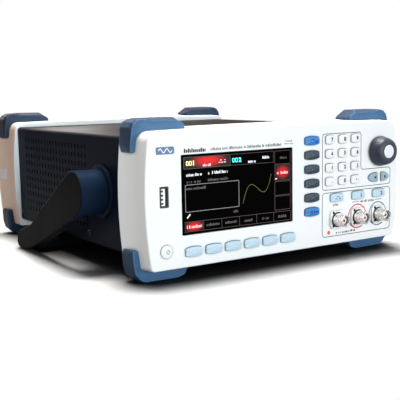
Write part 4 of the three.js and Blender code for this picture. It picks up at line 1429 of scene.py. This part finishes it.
def vent_cell(verts, faces, cell, depth, height):
    """Fills a cell round an obround hole: 12 hole points joined to the four corners."""
    base = len(verts)
    for sign, start in ((1, 0), (-1, 180)):
        for k in range(6):
            t = radians(start + 180 * k / 5)
            verts.append((verts[cell[0]][0], depth + VENT_HALF_WIDTH * cos(t),
                          height + sign * (VENT_HALF_HEIGHT - VENT_HALF_WIDTH)
                          + VENT_HALF_WIDTH * sin(t)))
    by_place = {(verts[i][1] > depth, verts[i][2] > height): i for i in cell}
    corners = [by_place[key] for key in
               ((True, True), (False, True), (False, False), (True, False))]
    for g in range(4):
        first = base + 3 * g
        for k in range(2):
            faces.append((corners[g], first + k, first + k + 1))
        faces.append((corners[g], first + 2, base + (3 * g + 3) % 12, corners[(g + 1) % 4]))


def sleeve():
    """Folded sheet with short vent slots in both side walls."""
    depths = sorted({22.3, 60.0, 257.7}
                    | {round(y - VENT_PITCH_Y / 2, 4) for y in VENT_DEPTHS}
                    | {round(VENT_DEPTHS[-1] + VENT_PITCH_Y / 2, 4)})
    ring = sleeve_ring(SLEEVE_BOTTOM + SLEEVE_RADIUS, SLEEVE_TOP - SLEEVE_RADIUS)
    count = len(ring)
    verts = [(x, y, z) for y in depths for x, z in ring]
    faces = []
    for j in range(len(depths) - 1):
        middle = (depths[j] + depths[j + 1]) / 2
        for i in range(count):
            after = (i + 1) % count
            cell = (j * count + i, j * count + after,
                    (j + 1) * count + after, (j + 1) * count + i)
            if is_vent(ring[i], ring[after], middle):
                vent_cell(verts, faces, cell, middle, (ring[i][1] + ring[after][1]) / 2)
            else:
                faces.append(cell)
    shell = solid(verts, faces)
    mod = shell.modifiers.new("sol", "SOLIDIFY")
    mod.thickness = 0.0014
    mod.offset = -1
    mod.use_even_offset = True
    apply_modifiers(shell)
    place("sleeve_shell", shell, "sleeve_powder_coat", replaces=("chassis_sleeve",),
          slot="sleeve_paint", angle=30)


def screw(name, seat, side, axis, radius, height):
    """Pan head screw standing out of its seat along side * axis, with a cross recess."""
    station = seat["xy".index(axis)]
    centre = seat[1:] if axis == "x" else (seat[0], seat[2])
    foot = station - side * 0.3
    head = turned([(0, station + side * height),
                   (radius * 0.6, station + side * height * 0.95, radius * 0.3),
                   (radius, station + side * height * 0.3, 0.25), (radius, foot), (0, foot)],
                  centre, 36, steps=5, axis=axis)
    recess = cross(0, 0, radius * 1.1, radius * 0.26, 0.1, (-0.5, 0.5), (-0.51, 0.51))
    turn = Matrix.Rotation(pi / 2, 4, "Z") if axis == "x" else Matrix.Identity(4)
    rise = side * height / 1e3
    offset = Vector((rise, 0, 0) if axis == "x" else (0, rise, 0))
    remap(recess, lambda point: turn @ point + Vector(to_metres(*seat)) + offset)
    boolean(head, recess)
    place(name, head, "screw_dark", slot="steel_plain", angle=35)


sleeve()
for side, name in SIDES:        # black film just inside each vented wall: painted shade seen through the vent slots
    film = extrude_x([(98.5, 20.5), (240.0, 20.5), (240.0, 97.0), (98.5, 97.0)],
                     *sorted((side * 112.55, side * 112.25)))
    place("sleeve_shade_film_" + name, film, "shade_film_black", slot="sleeve_paint", angle=30)
for side, name in SIDES:
    for row, depth in (("low", 101.0), ("rear", 246.5)):
        screw(f"sleeve_screw_{row}_{name}", (side * SLEEVE_X, depth, 24.0), side, "x",
              radius=2.4, height=1.0)

# ------------------------------------------------------------------ handle
PIVOT = (76.3, 59.0)            # handle axis (depth, z)
# hub section: (radius, distance from the middle plane, corner radius)
HUB_PROFILE = [
    (0, 133.5), (8.4, 133.5, 0.6), (9.0, 132.9, 0.3), (9.0, 117.0, 0.2), (17.6, 117.0, 0.3),
    (18.4, 116.7, 0.4), (20.0, 116.3, 0.6), (20.3, 114.45, 0.1), (6.2, 114.4),
    (6.2, 108.5, 0.4), (0, 108.5)]
# arm below and behind the hub (depth, z)
ARM_POINTS = [
    (101.6, 29.4), (122.4, 21.0), (144.6, 12.4), (163.3, 5.3), (172, 2.4), (180, 0.9),
    (190, 0.5), (195.5, 1.8), (198.4, 5.2), (198.2, 9.6), (195.2, 13.9), (190, 17.0),
    (178, 20.8), (165.3, 25.0), (153, 32.4), (141.1, 40.4), (118.7, 53.3), (97.6, 66.1)]
# section of the cross bar (depth, z)
GRIP_POINTS = [
    (163, 5.3), (166, 2.8), (172, 1.6), (186, 0.8), (193, 1.6), (196, 4.5), (195, 8.5),
    (190, 11.2), (178, 12.4), (168, 12.4), (164, 9.6)]


def hub_notch(side, angle):
    """Cutter for a small slot across the hub rim."""
    notch = prism(rounded_rect(0, 0, 1.3, 6.0, 0.6, 4), -1.2, 1.2)
    radial, tangent = Vector((cos(angle), sin(angle))), Vector((-sin(angle), cos(angle)))

    def move(point):
        offset = radial * (0.0186 + point.x) + tangent * point.z
        return Vector((side * 0.1166 + point.y,
                       (PIVOT[0] - ORIGIN_DEPTH) / 1e3 + offset.x, PIVOT[1] / 1e3 + offset.y))
    remap(notch, move)
    return notch


def handle_hub(side, name):
    profile = [(radius, side * x, *corner) for radius, x, *corner in HUB_PROFILE]
    hub = turned(profile, PIVOT, 96, axis="x")
    boolean(hub, merge([hub_notch(side, radians(angle)) for angle in (52, 172, 292)]))
    place(f"handle_hub_{name}_piece", hub, "hub_black_nylon_blue_sheen",
          replaces=("handle_hub_" + name,), slot="handle_black", angle=32)


def handle_arm(side):
    eye = [radians(58 + (249 - 58) * k / 36) for k in range(37)]
    outline = [(PIVOT[0] + 17 * cos(t), PIVOT[1] + 17 * sin(t)) for t in eye]
    arm = extrude_x(outline + spline(ARM_POINTS, 5), *sorted((side * 130.5, side * 138.5)))
    bevel(arm, 1.5, angle=50)
    boss = turned([(0, side * 117.1), (16.7, side * 117.1, 0.2), (17.0, side * 117.4, 0.15),
                   (17.0, side * 132.0), (0, side * 132.0)], PIVOT, 96, axis="x")
    boolean(arm, boss, "UNION")
    return arm


def handle():
    left, right = (handle_arm(side) for side in (-1, 1))
    grip = extrude_x(spline(GRIP_POINTS, 5, closed=True), -132.0, 132.0)
    # shallow flutes under the grip
    flutes = []
    for k in range(15):
        x0, x1 = -56 + 8 * k - 2.6, -56 + 8 * k + 2.6
        flutes.append(lathe([(0, x0), (1.6, x0), (1.6, x1), (0, x1)], (187.0, 0.1), 24, "x"))
    boolean(grip, merge(flutes))
    boolean(left, right, "UNION")
    boolean(left, grip, "UNION")
    for side in (-1, 1):        # bores for the hubs
        x0, x1 = side * 115, side * 134.0
        boolean(left, lathe([(0, x0), (9.3, x0), (9.3, x1), (0, x1)], PIVOT, 72, "x"))
    place("handle_frame", left, "handle_black_nylon", body="handle", replaces=("handle",),
          slot="handle_black", angle=32)


for side, name in SIDES:
    handle_hub(side, name)
handle()


# ------------------------------------------------------------------ rear frame and plate
INLET_X, INLET_Z = 78.0, 50.0
ROCKER_X, ROCKER_Z = node_centre("power_rocker")


def rear_frame():
    frame = loft(frame_rings(REAR_SKIN, REAR))
    boolean(frame, prism(SLEEVE_POCKET, REAR - 1, REAR + 8))
    boolean(frame, prism(rounded_rect(0, MID_Z, 226, 87, 6, 6), REAR + 7, 277))
    opening = growing_rect(0, MID_Z, 216, 78, 5, 6)
    # (depth, growth): the opening flares at the back face
    boolean(frame, loft([at_depth(opening(grow), depth) for depth, grow in (
        (276, 0), (279.2, 0), (280.0, 0.7), (281.0, 0.7))]))
    place("rear_frame", frame, "frame_white_shaded_sides", replaces=("rear_bezel",),
          slot="frame_white", angle=28)


def rear_plate():
    plate = prism(rounded_rect(0, MID_Z, 224.4, 85.4, 5.6, 6), 274.9, 276.7)
    openings = [(INLET_X, INLET_Z, 28.6, 20.6, 0.4, 2), (ROCKER_X, ROCKER_Z, 21.6, 13.8, 0.4, 2)]
    openings += [(-20.8 + 5 * k, 58.0, 2.4, 48.0, 1.15, 6) for k in range(9)]
    boolean(plate, merge([prism(rounded_rect(*opening), 270, 280) for opening in openings]))
    place("rear_plate", plate, "sleeve_powder_coat", replaces=("rear_panel",),
          slot="sleeve_paint", angle=30)


rear_frame()
rear_plate()
for i, (x, z) in enumerate(((-101, 26), (101, 26), (-101, 91), (101, 91), (-60, 26), (-60, 91))):
    screw(f"rear_screw_{i + 1}", (x, 276.7, z), 1, "y", radius=2.7, height=1.1)


# ------------------------------------------------------------------ mains inlet and rocker
def power_inlet():
    """Shared plate with the inlet box and the rocker box reaching forward from it."""
    inlet = pill(growing_rect(INLET_X, 54.25, 31.6, 32.8, 3, 6), 277.0, 279.2, 0.0, 0.5)
    cavity = rounded_path([(INLET_X + x, INLET_Z + z) for x, z in (
        (-12, -8), (12, -8), (12, 3.5), (7.5, 8), (-7.5, 8), (-12, 3.5))], 1.0, 3)
    for outline, front, back, operation in (
            (rounded_rect(INLET_X, INLET_Z, 27.6, 19.6, 1.0, 4), 256, 277.6, "UNION"),
            (rounded_rect(ROCKER_X, ROCKER_Z, 20.8, 13.0, 0.8, 4), 264, 277.6, "UNION"),
            (cavity, 260, 281, "DIFFERENCE"),
            (rounded_rect(ROCKER_X, ROCKER_Z, 19.0, 11.8, 0.6, 4), 265.5, 281, "DIFFERENCE"),
            # clearance behind the plate
            (rounded_rect(INLET_X, INLET_Z, 31.8, 33.2, 0.5, 2), 279.9, 280.5, "DIFFERENCE")):
        boolean(inlet, prism(outline, front, back), operation)
    place("inlet_body", inlet, "black_thermoplastic", replaces=("power_inlet",),
          slot="inlet_black", angle=30)
    blades = [pill(growing_rect(INLET_X + x, INLET_Z + z, 2.0, 4.0, 0.25, 3, least_radius=0.05),
                   259.0, 275.0, 0.0, 0.45) for x, z in ((-7, -2), (0, 2.2), (7, -2))]
    place("inlet_blades", merge(blades), "plated_steel", slot="steel_plain", angle=35)


ROCKER_TILT = radians(-10)
ROCKER_HALF, ROCKER_TIP, ROCKER_MIDDLE = 8.6, 1.5, 0.1      # half length; heights of the face


def rocker_point(along, out, up):
    """Point on the tilted rocker: along its face, out of it to the back, and up."""
    return (INLET_X + along * cos(ROCKER_TILT) - out * sin(ROCKER_TILT),
            277.4 + along * sin(ROCKER_TILT) + out * cos(ROCKER_TILT), ROCKER_Z + up)


def rocker_cap():
    profile = [(-ROCKER_HALF, ROCKER_TIP), (0, ROCKER_MIDDLE), (ROCKER_HALF, ROCKER_TIP),
               (ROCKER_HALF, -3.0), (3, -8), (-3, -8), (-ROCKER_HALF, -3.0)]
    cap = loft([[rocker_point(a, b, up) for a, b in profile] for up in (-5.5, 5.5)])
    bevel(cap, 0.45, angle=20)
    place("rocker_cap", cap, "black_thermoplastic", body="power_rocker",
          replaces=("power_rocker",), slot="inlet_black", angle=32)


def rocker_mark(name, path, width, closed):
    mark = stroke(path, width, -0.06, 0.06, closed)
    slope = (ROCKER_TIP - ROCKER_MIDDLE) / ROCKER_HALF

    def lay_on_face(point):
        along, depth, up = point * 1e3
        out = ROCKER_MIDDLE + abs(along) * slope - depth
        return Vector(to_metres(*rocker_point(along, out, up)))
    remap(mark, lay_on_face)
    tidy(mark.data)
    place_print(name, mark, "ink_white", body="power_rocker")


power_inlet()
rocker_cap()
rocker_mark("rocker_mark_bar", [(-4.8, -1.6), (-4.8, 1.6)], 0.5, closed=False)
rocker_mark("rocker_mark_ring", [(4.8 + 1.4 * cos(2 * pi * k / 28), 1.6 * sin(2 * pi * k / 28))
                                 for k in range(28)], 0.45, closed=True)

# ------------------------------------------------------------------ corner bumpers
# Sections of the right-hand bumpers (x, z): the faceted front end and the full body.
TOP_FACET = [
    (122.0, 92.5), (122.0, 96.5), (120.6, 107.2), (119.4, 110.6), (116.7, 113.2),
    (113.3, 114.4), (108.7, 113.6), (106.4, 112.6), (84.0, 112.2), (79.7, 110.4),
    (78.8, 106.0), (78.8, 99), (108, 99), (108, 92.0)]
TOP_FULL = [
    (122.3, 91.6), (122.6, 96.5), (122.0, 109.0), (119.6, 112.4), (116.0, 114.2),
    (113.3, 114.6), (108.7, 114.85), (104.0, 114.9), (86.2, 114.8), (77.2, 108.8),
    (76.5, 106.4), (76.5, 99), (108, 99), (108, 91.2)]
BOTTOM_FACET = [
    (122.2, 23.5), (122.5, 20.2), (121.7, 13.7), (120.7, 7.3), (116.9, 2.8), (113.8, 0.9),
    (87.0, 0.6), (81.0, 2.3), (79.0, 6.5), (79.0, 16), (108, 16), (108, 23.5)]
BOTTOM_FULL = [
    (122.4, 24.0), (122.9, 20.2), (122.6, 11.5), (121.0, 5.6), (115.4, 0.6), (112.6, 0),
    (87.0, 0), (80.5, 2.2), (76.5, 7.5), (76.5, 16), (108, 16), (108, 24.0)]


def bumper(name, side, start, rows, full, facet, mat):
    tail = [(a * 0.6 + c * 0.4, b * 0.6 + d * 0.4) for (a, b), (c, d) in zip(full, facet)]
    body = loft([[(side * x, start + depth, z) for x, z in points] for depth, points in (
        (13.3, facet), (16.2, full), (28.6, full), (29.4, tail))])
    bevel(body, 0.85, angle=14, clamp=True)
    # the frame itself is cut out, grown for clearance and lengthened at the back
    boolean(body, loft([at_depth(frame_outline(row, grow=0.12),
                                 start + row[0] + (2.0 if row[0] > 29.9 else 0.0))
                        for row in rows]))
    place(name + "_moulding", body, mat, replaces=(name,), slot="bumper_rubber", angle=24)


for row, start, rows, mat in (("front", 0.0, FRONT_SKIN, "bumper_slate_rubber"),
                              ("rear", REAR, REAR_SKIN, "bumper_slate_rubber_rear_shaded")):
    for level, full, facet in (("top", TOP_FULL, TOP_FACET),
                               ("bottom", BOTTOM_FULL, BOTTOM_FACET)):
        for side, name in SIDES:
            bumper(f"bumper_{row}_{level}_{name}", side, start, rows, full, facet, mat)


# ------------------------------------------------------------------ sticker
def frame_sticker():
    """Small plain sticker on the left side of the rear frame."""
    columns, rows = 8, 6
    width = columns + 1
    verts, faces = [], []
    for lift in (0.06, -0.1):
        for j in range(rows + 1):
            for i in range(width):
                depth, z = 266.5 + 11.0 * i / columns, 52.6 + 9.6 * j / rows
                verts.append((-(side_x(row_at(REAR_SKIN, depth - REAR), z) + lift), depth, z))
    layer = width * (rows + 1)
    for j in range(rows):
        for i in range(columns):
            a = j * width + i
            faces += [(a, a + 1, a + width + 1, a + width),
                      (layer + a, layer + a + width, layer + a + width + 1, layer + a + 1)]
    rim = (list(range(columns)) + [j * width + columns for j in range(rows)]
           + [rows * width + i for i in range(columns, 0, -1)]
           + [j * width for j in range(rows, 0, -1)])
    for a, b in zip(rim, rim[1:] + rim[:1]):
        faces.append((a, layer + a, layer + b, b))
    place("rear_frame_sticker", solid(verts, faces), "sticker_pale", angle=30)


frame_sticker()

# ------------------------------------------------------------------ CAD nodes kept as they are
for node, mat, slot in (
        ("display_module", "display_metal", "display_body"),
        ("key_board", "board_mask_green", "board_green"),
        ("main_board", "board_mask_green", "board_green"),
        ("power_supply", "board_mask_tan", "supply_board"),
        ("rotary_encoder", "plated_steel", "steel_plain"),
        ("encoder_shaft", "plated_steel", "steel_plain"),
        ("encoder_plunger", "black_thermoplastic", "inlet_black")):
    ob = NODES[node]
    ob.data.materials.clear()
    ob.data.materials.append(MATS[mat])


# ------------------------------------------------------------------ floor
def floor_material():
    """Pale floor, dark near contacts, that turns plain white for the camera further out."""
    mat = bpy.data.materials.new("floor_pale")
    shader = Shader(mat, clear=False)
    surface = shader.tree.nodes["Principled BSDF"]
    surface.inputs["Roughness"].default_value = 0.85
    surface.inputs["Specular IOR Level"].default_value = 0.1
    rays = shader.add("LightPath").outputs
    # contact shading, seen by the camera and partly by reflections
    open_sky = shader.add("AmbientOcclusion", {"Distance": 0.05}, samples=16).outputs["AO"]
    shade = shader.ramp(open_sky, 0.35, 0.92, to_start=0.04, to_end=0.93)
    glossy = shader.math("MULTIPLY", rays["Is Glossy Ray"], 0.30)
    seen = shader.math("MAXIMUM", glossy, rays["Is Camera Ray"])
    shader.link(shader.blend((0.24, 0.24, 0.245, 1), shade, seen), surface.inputs["Base Color"])
    # distance outside a rectangle with these half sizes
    position = shader.add("NewGeometry").outputs["Position"]
    outside = shader.vector("ABSOLUTE", shader.vector("MULTIPLY", position, (1, 1, 0)))
    outside = shader.vector("SUBTRACT", outside, (0.128, 0.136, 0))
    outside = shader.vector("LENGTH", shader.vector("MAXIMUM", outside, (0, 0, 0)))
    far = shader.ramp(outside, 0.0, 0.10, smooth=True)
    white = shader.add("Emission", {0: (1, 1, 1, 1)}).outputs[0]
    factor = shader.math("MULTIPLY", rays["Is Camera Ray"], far)
    mix = shader.add("MixShader", {0: factor, 1: surface.outputs[0], 2: white})
    shader.link(mix.outputs[0], shader.tree.nodes["Material Output"].inputs[0])
    return mat


def make_floor():
    mesh = bpy.data.meshes.new("floor")
    edit = bmesh.new()
    bmesh.ops.create_grid(edit, x_segments=8, y_segments=8, size=14)
    edit.to_mesh(mesh)
    edit.free()
    ob = link_mesh(mesh, "floor")
    ob.location = (0, 0, -0.0002)
    mesh.materials.append(floor_material())
    return ob


floor = make_floor()


# ------------------------------------------------------------------ world
def make_world():
    """White for the camera, dim for diffuse light, brighter in front for reflections."""
    scene.world = bpy.data.worlds.new("studio")
    shader = Shader(scene.world)

    def background(colour, strength):
        return shader.add("Background", {0: (*colour, 1), 1: strength})
    seen = background((1, 1, 1), 1.0)
    diffuse = background((0.98, 0.98, 1.0), 0.20)
    glossy = background((0.97, 0.98, 1.0), 0.5)
    direction = shader.add("TexCoord").outputs["Generated"]
    facing = shader.vector("DOT_PRODUCT", direction, (0.25, -0.9, 0.35))
    strength = shader.ramp(facing, -0.5, 0.9, to_start=0.08, to_end=1.15)
    shader.link(strength, glossy.inputs[1])
    rays = shader.add("LightPath").outputs
    unseen = shader.add("MixShader", {0: rays["Is Glossy Ray"], 1: diffuse.outputs[0],
                                      2: glossy.outputs[0]})
    mix = shader.add("MixShader", {0: rays["Is Camera Ray"], 1: unseen.outputs[0],
                                   2: seen.outputs[0]})
    shader.add("OutputWorld", {0: mix.outputs[0]})


make_world()

# ------------------------------------------------------------------ lights
not_floor = bpy.data.collections.new("not_the_floor")
not_floor.objects.link(floor)
for member in not_floor.collection_objects:
    member.light_linking.link_state = "EXCLUDE"


def area_light(name, at, aim, size, energy, colour, on_floor=False, only=None):
    """Area light in metres and watts; only names the one object it lights."""
    light = bpy.data.lights.new(name, "AREA")
    light.shape = "RECTANGLE"
    light.size, light.size_y = size
    light.energy = energy
    light.color = colour
    ob = bpy.data.objects.new(name, light)
    scene.collection.objects.link(ob)
    ob.location = at
    ob.rotation_mode = "QUATERNION"
    ob.rotation_quaternion = (Vector(aim) - Vector(at)).to_track_quat("-Z", "Y")
    ob.visible_camera = False
    if only:
        receivers = bpy.data.collections.new(name + "_receivers")
        receivers.objects.link(bpy.data.objects[only])
        ob.light_linking.receiver_collection = receivers
    elif not on_floor:
        ob.light_linking.receiver_collection = not_floor


area_light("key_top", at=(0.05, 0.14, 1.35), aim=(0.0, 0.0, 0.05), size=(0.55, 0.45),
           energy=33, colour=(1.0, 0.965, 0.93), on_floor=True)
area_light("rear_lip", at=(-0.205, -0.45, 0.09), aim=(-0.12, 0.115, 0.06), size=(0.06, 0.12),
           energy=0.95, colour=(0.80, 0.97, 1.0), only="rear_frame")
area_light("front_fill", at=(0.30, -1.9, 0.26), aim=(0.02, 0, 0.06), size=(1.5, 0.6),
           energy=28, colour=(0.92, 0.97, 1.0))
area_light("left_front", at=(-0.52, -0.58, 0.26), aim=(-0.11, -0.06, 0.06), size=(0.3, 0.3),
           energy=1.35, colour=(0.94, 1.0, 1.0))
area_light("left_rear_warm", at=(-0.62, 0.25, 0.22), aim=(-0.12, 0.10, 0.06), size=(0.2, 0.2),
           energy=0.4, colour=(1.0, 0.66, 0.45))
area_light("right_soft", at=(1.5, 0.1, 0.7), aim=(0.1, 0.02, 0.06), size=(0.9, 0.9),
           energy=6, colour=(1.0, 0.98, 0.95))
area_light("back_soft", at=(0.2, 1.9, 0.5), aim=(0.0, 0.1, 0.06), size=(1.2, 0.7),
           energy=11, colour=(1.0, 0.97, 0.94))


# ------------------------------------------------------------------ camera
def make_camera(location, yaw, pitch, roll, lens):
    """Camera turned by yaw from +Y towards +X, pitched down, then rolled (radians)."""
    forward = Vector((sin(yaw) * cos(pitch), cos(yaw) * cos(pitch), -sin(pitch)))
    level = Vector((cos(yaw), -sin(yaw), 0))
    upright = level.cross(forward)
    right = cos(roll) * level + sin(roll) * upright
    up = -sin(roll) * level + cos(roll) * upright
    camera = bpy.data.cameras.new("camera")
    camera.sensor_width = 36
    camera.lens = lens
    camera.clip_start, camera.clip_end = 0.02, 60
    ob = bpy.data.objects.new("camera", camera)
    scene.collection.objects.link(ob)
    matrix = Matrix((right, up, -forward)).transposed().to_4x4()
    matrix.translation = Vector(location)
    ob.matrix_world = matrix
    scene.camera = ob


make_camera(location=(-0.3735186, -0.5980039, 0.1326905), yaw=0.5714522642,
            pitch=0.1366593164, roll=-0.0190232373, lens=71.580109617)
scene.view_settings.view_transform = "Standard"
scene.view_settings.look = "None"
